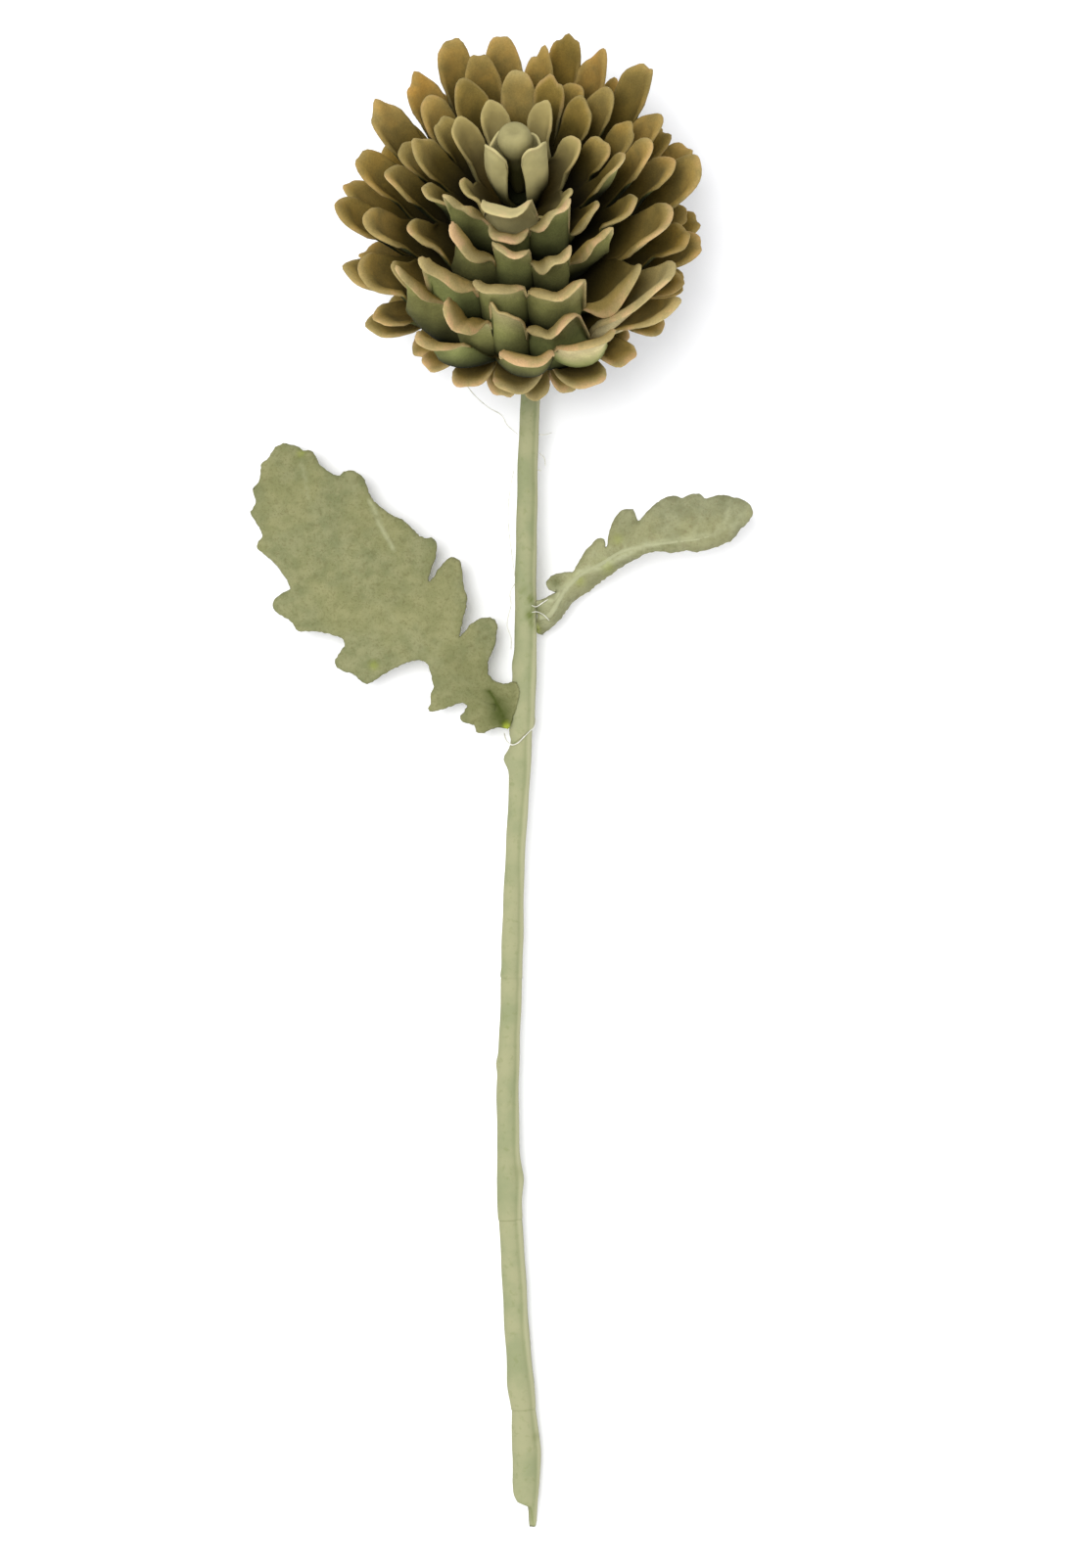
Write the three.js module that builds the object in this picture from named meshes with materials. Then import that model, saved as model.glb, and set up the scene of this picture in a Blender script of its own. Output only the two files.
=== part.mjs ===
// Artichoke stem: a pressed-foam artichoke head on a foam-wrapped wire, with two leaves, lying on a table.
// Millimetres, +Z up. The stem runs along Y with the head at +Y. The origin is the bottom centre of the whole.
import * as THREE from 'three';

// Stock and fits
const GAP = 0.35;
const BRACT_SHEET = 1.8;
const LEAF_SHEET = 1.3;
const WIRE_RADIUS = 1.6;
const BORE_RADIUS = WIRE_RADIUS + GAP;
const RIB_RADIUS = 0.8;

// The head is a ball of nested rosettes. Its axis rises from the stem's line by HEAD_RISE and leans a little to -X.
const HEAD_CENTRE = new THREE.Vector3(8.7, 231.2, 68.4);
const HEAD_RISE = THREE.MathUtils.degToRad(60);
const HEAD_LEAN = THREE.MathUtils.degToRad(3);
const CORE_RADIUS = 6.4;
const CORE_BOTTOM = -45;
const CORE_TOP = 17.6;
const WIRE_TOP = 8;

// Rosettes from the innermost to the outermost. Along the head's axis, hub is the height of the hole in the middle.
// tip is the radius and height that a bract reaches, and launch and end are its slopes there, in degrees.
// notch is how deep the gap between two bracts cuts, cup how far a bract is hollowed, and turn its first azimuth.
const ROSETTES = [
  { bracts: 4, hub: 15, tip: [9.8, 50], launch: 70, end: 86, notch: 0.5, cup: 1.2, turn: -54 },
  { bracts: 7, hub: 9, tip: [24, 42], launch: 50, end: 76, notch: 0.5, cup: 3, turn: -7 },
  { bracts: 11, hub: 3, tip: [38, 42], launch: 28, end: 78, notch: 0.42, cup: 3.5, turn: -7 },
  { bracts: 14, hub: -3, tip: [49, 40], launch: 12, end: 78, notch: 0.4, cup: 3.5, turn: -4 },
  { bracts: 16, hub: -9, tip: [62, 33], launch: 2, end: 76, notch: 0.36, cup: 4, turn: -9 },
  { bracts: 14, hub: -15, tip: [69, 17], launch: -6, end: 72, notch: 0.34, cup: 4.5, turn: 8 },
  { bracts: 15, hub: -21, tip: [70, -2], launch: -12, end: 62, notch: 0.32, cup: 4.5, turn: 2 },
  { bracts: 15, hub: -27, tip: [67, -20], launch: -18, end: 40, notch: 0.3, cup: 4.5, turn: -2 },
  { bracts: 12, hub: -33, tip: [57, -40], launch: -24, end: 4, notch: 0.3, cup: 4, turn: -9 },
  { bracts: 9, hub: -39, tip: [39, -53.5], launch: -30, end: -26, notch: 0.3, cup: 3, turn: 6 },
];
const COLUMNS_PER_BRACT = 4;
const ROWS_PER_BRACT = 4;

// A bract's line: how far its launch and end slopes reach, as shares of the straight way from hub to tip.
const LAUNCH_PULL = 0.42;
const END_PULL = 0.36;

// A bract's hollow: where along it the hollow starts, over what length it grows, and the share of it that lies
// below the line. A higher notch power makes a broader tip.
const HOLLOW_START = 0.12;
const HOLLOW_GROWTH = 0.6;
const HOLLOW_BELOW = 0.45;
const NOTCH_POWER = 2.6;

// The stem's centre line from the cut end to the foot of the head.
const STEM_LINE = [
  [9.9, -292.6, 5.5], [10.1, -270.3, 5.7], [9.1, -254.5, 6.0], [7.1, -229.8, 6.6], [5.1, -197.4, 7.6],
  [3.5, -167.0, 8.5], [2.7, -124.4, 9.9], [3.3, -100.1, 10.6], [4.2, -75.9, 11.3], [5.3, -35.3, 12.5],
  [7.5, 5.1, 13.7], [8.3, 22.5, 14.2], [9.8, 53.6, 15.1], [10.2, 85.9, 16.0], [10.6, 126.3, 17.2],
  [12.0, 164.0, 18.2], [12.0, 175.0, 18.4], [11.9, 183.0, 18.5], [11.8, 189.5, 18.7], [11.6, 195.0, 19.5],
  [11.4, 200.4, 21.6], [11.2, 205.0, 25.0],
];

// Foam wraps on the wire, from the cut end up: the distance from the cut end and the radius at points along each.
const WRAPS = {
  stem_wrap_foot: [[0, 4.9], [8, 5.4], [22, 5.6], [32, 5.2], [38, 4.7]],
  stem_wrap_low: [[38, 5.1], [50, 5.4], [63, 5.1], [87, 5.0], [108, 4.9], [117, 4.8]],
  stem_wrap_middle: [[117, 5.0], [134, 5.3], [145, 4.6], [170, 4.5], [194, 4.2], [217, 4.4]],
  stem_wrap_high: [[217, 4.3], [234, 4.4], [258, 4.0], [282, 4.1], [306, 4.4], [316, 4.5]],
  stem_wrap_neck: [[316, 4.7], [325, 5.0], [346, 5.0], [378, 4.6], [418, 4.4], [456, 4.6],
    [470, 4.6], [482, 4.6], [490, 4.6], [498, 4.6], [505, 4.6]],
};
const WRAP_SIDES = 12;
const TAIL_LENGTH = 9;

// A leaf lies along its rib. Each station is [distance from the stem, half width to the left, half width to the right].
const LEFT_LEAF = {
  rib: [
    [3.1, 36, 14.6], [-4, 36.4, 15.2], [-12, 41.5, 16.4], [-24.1, 52.2, 18], [-40.2, 67.6, 19.5],
    [-56.7, 85.7, 20], [-71.2, 106.6, 19], [-83.3, 127.2, 16], [-90.6, 144.5, 11.5],
  ],
  stations: [
    [0, 8, 7], [9, 12, 8.5], [15, 7, 9.5], [20, 8, 13], [26, 16, 24], [31, 8, 28.5], [37, 4, 14],
    [44, 5, 25], [50, 19, 29], [56, 26, 34], [63, 30, 36], [68, 21, 27], [74, 22, 34], [80, 30, 32],
    [88, 33, 30], [95, 34, 28], [99, 24, 26], [107, 24, 23.5], [118, 27, 24], [125, 22, 18],
    [133, 18, 12], [140, 13, 10], [146, 8, 5], [149.5, 2, 2],
  ],
  leftFall: 4,
  rightFall: 3,
  ribDrop: LEAF_SHEET / 2 + RIB_RADIUS + GAP,
};
const RIGHT_LEAF = {
  rib: [
    [16.0, 73.4, 15.6], [19.5, 73.9, 17], [26.2, 84.3, 22], [32.4, 90.5, 25.5], [41.5, 95, 29.5],
    [49, 99.5, 32], [56.7, 101.5, 34], [70.5, 103.4, 35.5], [81.9, 104.9, 34.5], [91.9, 108.7, 32],
    [103, 116.4, 27],
  ],
  stations: [
    [0, 5, 6], [5, 5.5, 6], [11, 7, 6.5], [17, 6, 6], [22, 2.5, 5], [28, 6, 4.5], [36, 9, 4.5], [41, 7, 4],
    [45, 13, 3.5], [50, 16, 3.5], [54, 10, 3.5], [60, 15, 4], [68, 18.5, 4.5], [76, 17, 5], [86, 18, 5],
    [92, 14, 4.5], [98, 11, 3.5], [104, 5, 2], [106, 1.5, 1],
  ],
  leftFall: 7,
  rightFall: 12,
  ribDrop: LEAF_SHEET / 2 + RIB_RADIUS + 3 * GAP,
};

// Colours
const foam = (color, roughness = 0.95) => new THREE.MeshStandardMaterial({ color, roughness, metalness: 0 });
const INNER_BRACT_COLOUR = new THREE.Color(0xaaa273);
const OUTER_BRACT_COLOUR = new THREE.Color(0x7d7345);
const STEM_COLOUR = 0xb2bb86;
const LEAF_COLOUR = 0xa0a573;
const BUD_COLOUR = 0xa8a678;
const WIRE_COLOUR = 0x6f6a55;

const smooth = (x) => THREE.MathUtils.smoothstep(x, 0, 1);

// A closed sheet of even thickness round the surface pointAt(row share, column share).
// With wrap, the last column meets the first and the sheet is a ring.
function sheet(rows, columns, wrap, thickness, pointAt) {
  const across = wrap ? columns : columns + 1;
  const middle = [];
  for (let i = 0; i <= rows; i++)
    for (let j = 0; j < across; j++) middle.push(...pointAt(i / rows, j / columns).toArray());
  const at = (i, j) => i * across + (j % across);
  const cells = [];
  for (let i = 0; i < rows; i++)
    for (let j = 0; j < columns; j++) {
      cells.push(at(i, j), at(i + 1, j), at(i + 1, j + 1));
      cells.push(at(i, j), at(i + 1, j + 1), at(i, j + 1));
    }
  const surface = new THREE.BufferGeometry();
  surface.setAttribute('position', new THREE.Float32BufferAttribute(middle, 3));
  surface.setIndex(cells);
  surface.computeVertexNormals();

  const count = middle.length / 3;
  const normals = surface.attributes.normal.array;
  const points = [];
  for (const side of [1, -1])
    middle.forEach((value, k) => points.push(value + (side * thickness / 2) * normals[k]));
  const faces = [...cells];
  for (let k = 0; k < cells.length; k += 3)
    faces.push(cells[k] + count, cells[k + 2] + count, cells[k + 1] + count);

  // The wall along an edge of the sheet, with the sheet on the left of the way from a to b.
  const wall = (a, b) => faces.push(b, a, a + count, b, a + count, b + count);
  for (let j = 0; j < columns; j++) {
    wall(at(rows, j), at(rows, j + 1));
    wall(at(0, j + 1), at(0, j));
  }
  if (!wrap)
    for (let i = 0; i < rows; i++) {
      wall(at(i, 0), at(i + 1, 0));
      wall(at(i + 1, columns), at(i, columns));
    }
  const solid = new THREE.BufferGeometry();
  solid.setAttribute('position', new THREE.Float32BufferAttribute(points, 3));
  solid.setIndex(faces);
  return solid;
}

// The line of a bract from its hub to its tip, as radius and height about the head's axis.
function bractLine({ hub, tip, launch, end }) {
  const rise = THREE.MathUtils.degToRad(launch);
  const finish = THREE.MathUtils.degToRad(end);
  const start = new THREE.Vector2(CORE_RADIUS + GAP + (BRACT_SHEET / 2) * Math.abs(Math.sin(rise)), hub);
  const stop = new THREE.Vector2(...tip);
  const reach = start.distanceTo(stop);
  const towards = (angle, length) => new THREE.Vector2(Math.cos(angle), Math.sin(angle)).multiplyScalar(length);
  return new THREE.CubicBezierCurve(
    start,
    start.clone().add(towards(rise, LAUNCH_PULL * reach)),
    stop.clone().sub(towards(finish, END_PULL * reach)),
    stop,
  );
}

// One rosette: a ring of hollowed bracts cut from one sheet, round the Z axis, with azimuth 0 at -Y.
function rosette(spec) {
  const line = bractLine(spec);
  const turn = THREE.MathUtils.degToRad(spec.turn);
  return sheet(ROWS_PER_BRACT, spec.bracts * COLUMNS_PER_BRACT, true, BRACT_SHEET, (row, column) => {
    const place = column * spec.bracts;
    const across = 2 * Math.abs(place - Math.round(place));
    const share = row * (1 - spec.notch * across ** NOTCH_POWER);
    const point = line.getPoint(share);
    const slope = line.getTangent(Math.min(share, 0.999));
    const depth = spec.cup * smooth((share - HOLLOW_START) / HOLLOW_GROWTH);
    const hollow = depth * ((1 - Math.cos(Math.PI * across)) / 2 - HOLLOW_BELOW);
    const radius = point.x - slope.y * hollow;
    const azimuth = turn + column * 2 * Math.PI;
    return new THREE.Vector3(
      radius * Math.sin(azimuth),
      -radius * Math.cos(azimuth),
      point.y + slope.x * hollow,
    );
  });
}

// A solid of revolution about Z from [radius, height] points.
function turned(profile, sides) {
  const points = profile.map(([radius, height]) => new THREE.Vector2(radius, height));
  return new THREE.LatheGeometry(points, sides).rotateX(Math.PI / 2);
}

// A smooth curve through a list of points.
const CURVE_DIVISIONS = 800;
const through = (points) => {
  const curve = new THREE.CatmullRomCurve3(points.map((p) => new THREE.Vector3(...p)), false, 'centripetal');
  curve.arcLengthDivisions = CURVE_DIVISIONS;
  return curve;
};

// A round rod along a curve.
function rod(curve, radius, sides, steps) {
  const section = new THREE.Shape();
  for (let k = 0; k < sides; k++) {
    const angle = (2 * Math.PI * k) / sides;
    const point = [radius * Math.cos(angle), radius * Math.sin(angle)];
    if (k) section.lineTo(...point);
    else section.moveTo(...point);
  }
  return new THREE.ExtrudeGeometry(section, { steps, curveSegments: 1, bevelEnabled: false, extrudePath: curve });
}

// A foam wrap: a bored sleeve turned straight, then laid along the stem.
// The foot's lower end is cut aslant and runs out in a torn tail on its +X side.
function wrap(stem, stations, hasTail) {
  const length = stem.getLength();
  const first = stations[0][0] + GAP / 2;
  const last = stations.at(-1)[0] - GAP / 2;
  const clamped = stations.map(([distance, radius]) => [radius, Math.min(Math.max(distance, first), last)]);
  const bore = clamped.map(([, distance]) => [BORE_RADIUS, distance]).reverse();
  const geometry = turned([...clamped, ...bore, clamped[0]], WRAP_SIDES);
  const position = geometry.attributes.position;
  for (let k = 0; k < position.count; k++) {
    const [x, y, distance] = [position.getX(k), position.getY(k), position.getZ(k)];
    const share = THREE.MathUtils.clamp(distance / length, 0, 1);
    const along = stem.getTangentAt(share);
    const side = new THREE.Vector3(0, 0, 1).cross(along).negate().normalize();
    const down = along.clone().cross(side);
    const radius = Math.hypot(x, y);
    const tail = hasTail && distance <= first + GAP ? TAIL_LENGTH * Math.max(0, x / radius) ** 3 : 0;
    const point = stem.getPointAt(share)
      .addScaledVector(side, x)
      .addScaledVector(down, y)
      .addScaledVector(along, -tail);
    position.setXYZ(k, point.x, point.y, point.z);
  }
  return geometry;
}

// A leaf blade: two halves that fall away from the rib by leftFall and rightFall at its widest.
function blade({ rib, stations, leftFall, rightFall }) {
  const curve = through(rib);
  const length = curve.getLength();
  const widest = Math.max(...stations.map(([, left]) => left));
  const widestRight = Math.max(...stations.map(([, , right]) => right));
  return sheet(stations.length - 1, 4, false, LEAF_SHEET, (row, column) => {
    const [distance, left, right] = stations[Math.round(row * (stations.length - 1))];
    const share = Math.min(distance / length, 1);
    const along = curve.getTangentAt(share).setZ(0).normalize();
    const toLeft = new THREE.Vector3(-along.y, along.x, 0);
    const across = 1 - 2 * column;
    const width = across > 0 ? across * left : across * right;
    const fall = across > 0
      ? leftFall * (width / widest) ** 2
      : rightFall * (width / widestRight) ** 2;
    return curve.getPointAt(share).addScaledVector(toLeft, width).add(new THREE.Vector3(0, 0, -fall));
  });
}

// A leaf's rib wire, under the blade from the stem to near the tip.
function ribWire({ rib, ribDrop }) {
  const under = through(rib.map(([x, y, z]) => [x, y, z - ribDrop]));
  const shortened = through([0, 0.2, 0.4, 0.6, 0.8, 0.94].map((share) => under.getPointAt(share).toArray()));
  return rod(shortened, RIB_RADIUS, 6, 14);
}

const group = new THREE.Group();
const part = (parent, name, geometry, material) => {
  const mesh = new THREE.Mesh(geometry, material);
  mesh.name = name;
  parent.add(mesh);
  return mesh;
};

// Head
const head = new THREE.Group();
head.position.copy(HEAD_CENTRE);
head.rotation.set(HEAD_RISE - Math.PI / 2, -HEAD_LEAN, 0);
head.updateMatrix();
group.add(head);
ROSETTES.forEach((spec, k) => {
  const colour = INNER_BRACT_COLOUR.clone().lerp(OUTER_BRACT_COLOUR, k / (ROSETTES.length - 1));
  part(head, `bracts_${String(k + 1).padStart(2, '0')}`, rosette(spec), foam(colour));
});
part(head, 'head_core', turned([
  [0, WIRE_TOP + GAP], [BORE_RADIUS, WIRE_TOP + GAP], [BORE_RADIUS, CORE_BOTTOM],
  [CORE_RADIUS, CORE_BOTTOM], [CORE_RADIUS, CORE_TOP], [0, CORE_TOP],
], 20), foam(BUD_COLOUR));
part(head, 'bud', turned([
  [0, CORE_TOP + GAP], [3.6, CORE_TOP + GAP], [3.4, 38], [4.6, 42], [6.6, 46], [7.1, 49.5],
  [6.2, 52.8], [4, 55.2], [2, 55.4], [0, 54.6],
], 16), foam(BUD_COLOUR));

// Stem
const inHead = (height) => new THREE.Vector3(0, 0, height).applyMatrix4(head.matrix).toArray();
const stem = through([...STEM_LINE, inHead(CORE_BOTTOM - GAP)]);
const wirePath = through([...STEM_LINE, inHead(CORE_BOTTOM), inHead(CORE_BOTTOM / 2), inHead(WIRE_TOP)]);
part(group, 'stem_wire', rod(wirePath, WIRE_RADIUS, 8, 64), foam(WIRE_COLOUR, 0.5));
for (const [name, stations] of Object.entries(WRAPS))
  part(group, name, wrap(stem, stations, name === 'stem_wrap_foot'), foam(STEM_COLOUR));

// Leaves
for (const [side, leaf] of [['left', LEFT_LEAF], ['right', RIGHT_LEAF]]) {
  part(group, `leaf_${side}_blade`, blade(leaf), foam(LEAF_COLOUR));
  part(group, `leaf_${side}_rib`, ribWire(leaf), foam(LEAF_COLOUR));
}

export default group;
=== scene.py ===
# Artichoke stem: foam bracts, bud, wraps, leaves and glue threads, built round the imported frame.
import math
import random
from dataclasses import dataclass
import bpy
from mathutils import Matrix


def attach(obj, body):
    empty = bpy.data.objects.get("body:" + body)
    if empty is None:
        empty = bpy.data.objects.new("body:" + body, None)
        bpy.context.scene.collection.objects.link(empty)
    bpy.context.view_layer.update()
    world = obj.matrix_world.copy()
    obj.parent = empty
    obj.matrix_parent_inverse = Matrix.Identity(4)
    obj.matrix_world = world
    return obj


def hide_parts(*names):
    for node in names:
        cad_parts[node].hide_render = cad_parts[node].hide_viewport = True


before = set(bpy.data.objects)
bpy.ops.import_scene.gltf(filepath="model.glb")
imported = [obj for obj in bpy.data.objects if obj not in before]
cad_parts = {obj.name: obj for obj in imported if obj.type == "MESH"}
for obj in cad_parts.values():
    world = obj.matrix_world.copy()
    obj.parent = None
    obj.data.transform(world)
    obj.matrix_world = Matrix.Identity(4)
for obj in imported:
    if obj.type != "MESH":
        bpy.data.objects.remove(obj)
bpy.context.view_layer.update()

from types import SimpleNamespace

import bpy
import numpy as np
from mathutils import Matrix, Vector
from mathutils.geometry import delaunay_2d_cdt
from numpy.linalg import norm

# Lengths below are millimetres. The frame is in metres.
MM = 0.001
rng = random.Random(7)

# The camera looks straight down. A photo position turns into X and Y through its lens.
CAMERA_PLACE = (15.0, 4.7, 1810.0)
LENS = 100
SENSOR = 36
PHOTO_WIDTH = 1098
PHOTO_HEIGHT = 1602

# The head, placed as in the frame: its axis rises from the stem's line and leans a little to -X.
HEAD_CENTRE = (8.7, 231.2, 68.4)
HEAD_RISE = math.radians(60)
HEAD_LEAN = math.radians(3)
CORE_BOTTOM = -45.35
HUB_RADIUS = 7.2


def smooth(x):
    x = np.clip(x, 0.0, 1.0)
    return x * x * (3.0 - 2.0 * x)


def bell(x):
    return np.exp(-x * x)


def fade(distance, width):
    """1 at no distance, falling evenly to 0 at the width."""
    return np.clip(1 - distance / width, 0, 1)


def unit(vectors):
    return vectors / np.maximum(norm(vectors, axis=-1, keepdims=True), 1e-9)


def from_photo(pixels, height):
    """X and Y, in mm, of photo positions that lie at this height."""
    pixels = np.asarray(pixels, float)
    step = (CAMERA_PLACE[2] - height) * SENSOR / LENS / PHOTO_HEIGHT
    x = (pixels[..., 0] - PHOTO_WIDTH / 2) * step + CAMERA_PLACE[0]
    y = (PHOTO_HEIGHT / 2 - pixels[..., 1]) * step + CAMERA_PLACE[1]
    return np.stack([x, y], -1)


class Line:
    """A smooth line through points, asked by the distance along it. It goes on straight past its ends."""

    STEPS = 16
    SLOPE_STEP = 1.2

    def __init__(self, points):
        p = np.array(points, float)
        p = np.vstack([2 * p[0] - p[1], p, 2 * p[-1] - p[-2]])
        pieces = [self.span(*four) for four in zip(p, p[1:], p[2:], p[3:])]
        self.points = np.vstack(pieces + [p[-2:-1]])
        steps = norm(np.diff(self.points, axis=0), axis=1)
        self.reach = np.concatenate([[0.0], np.cumsum(steps)])
        self.length = self.reach[-1]

    def span(self, a, b, c, d):
        """A centripetal Catmull-Rom span from b to c."""
        ends = np.cumsum([0.0] + [norm(v) ** 0.5 for v in (b - a, c - b, d - c)])
        t = np.linspace(ends[1], ends[2], self.STEPS, endpoint=False)[:, None]

        def between(p, q, i, j):
            return ((ends[j] - t) * p + (t - ends[i]) * q) / (ends[j] - ends[i])

        ab, bc, cd = between(a, b, 0, 1), between(b, c, 1, 2), between(c, d, 2, 3)
        return between(between(ab, bc, 0, 2), between(bc, cd, 1, 3), 1, 2)

    def inside(self, distance):
        return np.stack([np.interp(distance, self.reach, self.points[:, k]) for k in range(3)], -1)

    def at(self, distance):
        inside = np.clip(distance, 0, self.length)
        return self.inside(inside) + (distance - inside)[..., None] * self.slope(inside)

    def slope(self, distance):
        low = np.clip(distance - self.SLOPE_STEP / 2, 0, self.length - self.SLOPE_STEP)
        return unit(self.inside(low + self.SLOPE_STEP) - self.inside(low))

    def nearest(self, places):
        """The nearest point's number, and how far off it is, for each place seen from above."""
        away = norm(places[:, None, :] - self.points[None, :, :2], axis=2)
        return away.argmin(axis=1), away.min(axis=1)


def cross_axes(along):
    """The sideways and the upward direction of a line that runs along."""
    right = unit(np.cross(along, (0.0, 0.0, 1.0)))
    return right, np.cross(right, along)


def head_matrix():
    turn = Matrix.Rotation(HEAD_RISE - math.pi / 2, 4, "X") @ Matrix.Rotation(-HEAD_LEAN, 4, "Y")
    return Matrix.Translation(Vector(HEAD_CENTRE)) @ turn


HEAD = np.array(head_matrix())


def to_world(points):
    """Head coordinates to row coordinates, in mm."""
    return np.asarray(points, float) @ HEAD[:3, :3].T + HEAD[:3, 3]


# Materials
class Shader:
    """Short names for building one material's nodes."""

    def __init__(self, name):
        self.material = bpy.data.materials.new(name)
        self.material.use_nodes = True
        self.tree = self.material.node_tree
        self.tree.nodes.clear()
        out = self.node("OutputMaterial")
        self.surface = self.node("BsdfPrincipled")
        self.link(self.surface.outputs[0], out.inputs["Surface"])
        self.put(self.surface.inputs["Specular IOR Level"], 0.1)
        self.place = self.node("TexCoord").outputs["Object"]

    def node(self, kind, **inputs):
        node = self.tree.nodes.new("ShaderNode" + kind)
        for key, value in inputs.items():
            self.put(node.inputs[key], value)
        return node

    def link(self, a, b):
        self.tree.links.new(a, b)

    def put(self, socket, value):
        if isinstance(value, (int, float)):
            socket.default_value = value
        elif isinstance(value, tuple):
            socket.default_value = (*value, 1.0)
        else:
            self.link(value, socket)

    def attribute(self, key):
        node = self.node("Attribute")
        node.attribute_name = key
        return node.outputs["Fac"]

    def noise(self, scale, detail=3.0, roughness=0.55):
        node = self.node("TexNoise", Scale=scale, Detail=detail, Roughness=roughness, Vector=self.place)
        return node.outputs["Fac"]

    def math(self, operation, a, b):
        node = self.node("Math")
        node.operation = operation
        self.put(node.inputs[0], a)
        self.put(node.inputs[1], b)
        return node.outputs[0]

    def span(self, value, low, high, to_low=0.0, to_high=1.0):
        """The value's way from low to high, smoothly, turned into the way from to_low to to_high."""
        node = self.node("MapRange", Value=value)
        node.interpolation_type = "SMOOTHSTEP"
        for key, number in (("From Min", low), ("From Max", high), ("To Min", to_low), ("To Max", to_high)):
            node.inputs[key].default_value = number
        return node.outputs["Result"]

    def mix(self, amount, a, b):
        node = self.node("Mix")
        node.data_type = "RGBA"
        for key, value in ((0, amount), (6, a), (7, b)):
            self.put(node.inputs[key], value)
        return node.outputs[2]

    def shade(self, colour, value):
        return self.node("HueSaturation", Value=value, Color=colour).outputs["Color"]

    def finish(self, colour, roughness=0.95, bumps=()):
        """bumps are (height, strength, depth in mm)."""
        self.put(self.surface.inputs["Base Color"], colour)
        self.put(self.surface.inputs["Roughness"], roughness)
        normal = None
        for height, strength, depth in bumps:
            node = self.node("Bump", Strength=strength, Distance=depth * MM, Height=height)
            if normal is not None:
                self.link(normal, node.inputs["Normal"])
            normal = node.outputs["Normal"]
        if normal is not None:
            self.link(normal, self.surface.inputs["Normal"])
        return self.material


def bract_material():
    """Pressed foam, paler towards a tan rim, with a sage outer face. Painted shade darkens both faces towards
    the base, the inner one through dark olive to near black, and the rim's paleness is partly painted
    highlight.
    """
    s = Shader("bract_foam")
    along, face = s.attribute("along"), s.attribute("face")
    tint, warm = s.attribute("tint"), s.attribute("warm")
    cloud = s.noise(90.0, 4.0)
    grain = s.noise(1400.0, 2.0, 0.7)
    # Painted shade on the inner face: near black at the base, dark olive higher up.
    inner_painted_shade = s.mix(s.span(along, 0.32, 0.88), (0.008, 0.006, 0.001), (0.105, 0.075, 0.014))
    pale = s.mix(tint, (0.27, 0.215, 0.073), (0.20, 0.148, 0.038))
    inner = s.mix(s.span(along, 0.64, 1.0), inner_painted_shade, pale)
    # Painted light: past along 1.05, which only lobes with pale reach, the tip is painted lighter.
    inner = s.mix(s.span(along, 1.05, 1.4), inner, (0.44, 0.37, 0.17))
    orange = s.mix(tint, (0.36, 0.175, 0.026), (0.24, 0.135, 0.02))
    reach = s.math("MULTIPLY", warm, s.span(along, 0.55, 1.0))
    inner = s.mix(s.math("MULTIPLY", reach, s.span(cloud, 0.35, 0.65, 0.4, 0.95)), inner, orange)
    outer_pale = s.mix(tint, (0.31, 0.345, 0.115), (0.325, 0.31, 0.105))
    # Painted shade on the outer face: near black at the base, sage higher up. Its pale tan top is the foam's
    # tan edge, brightened as painted light.
    outer_with_painted_shade = s.mix(s.span(along, 0.67, 1.0), (0.006, 0.007, 0.001), outer_pale)
    outer = s.mix(s.span(along, 0.86, 1.02), outer_with_painted_shade, (0.54, 0.46, 0.24))
    body = s.mix(s.span(face, 0.2, 0.8), outer, inner)
    # The pale rim: the foam's tan edge, made paler as a painted highlight.
    rim = s.mix(s.span(cloud, 0.46, 0.66), (0.42, 0.355, 0.17), (0.50, 0.33, 0.19))
    rim = s.mix(s.math("MULTIPLY", reach, 0.75), rim, (0.40, 0.22, 0.045))
    body = s.mix(s.math("MULTIPLY", s.attribute("rim"), s.span(face, 0.0, 0.5, 0.75, 0.9)), body, rim)
    mottle = s.math("MULTIPLY", s.span(cloud, 0.3, 0.7, 0.80, 1.16), s.span(grain, 0.3, 0.7, 0.90, 1.10))
    return s.finish(s.shade(body, mottle), 0.95, [(cloud, 0.25, 0.6), (grain, 0.35, 0.12)])


def heart_material():
    """The paler sage foam of the bud and the petals round it, with painted shade that darkens it to near
    black towards the base.
    """
    s = Shader("heart_foam")
    along, face = s.attribute("along"), s.attribute("face")
    cloud = s.noise(120.0, 4.0)
    grain = s.noise(1400.0, 2.0, 0.7)
    # Painted shade: near black at the base, sage higher up; the brown petals take the same painted shade.
    body = s.mix(s.span(along, 0.15, 0.6), (0.026, 0.024, 0.005), (0.44, 0.39, 0.18))
    brown = s.mix(s.span(along, 0.4, 1.0), (0.016, 0.013, 0.002), (0.29, 0.235, 0.085))
    body = s.mix(s.attribute("brown"), body, brown)
    # The pale rim: the foam's tan edge, made paler as a painted highlight.
    rim = s.mix(s.span(cloud, 0.5, 0.7), (0.46, 0.39, 0.19), (0.52, 0.34, 0.19))
    body = s.mix(s.math("MULTIPLY", s.attribute("rim"), 0.7), body, rim)
    stripe = s.math("MULTIPLY", s.attribute("warm"), s.span(face, 0.3, 0.7))
    body = s.mix(stripe, body, (0.40, 0.23, 0.035))
    body = s.shade(body, s.span(cloud, 0.3, 0.7, 0.88, 1.1))
    return s.finish(body, 0.95, [(cloud, 0.25, 0.5), (grain, 0.35, 0.12)])


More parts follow.
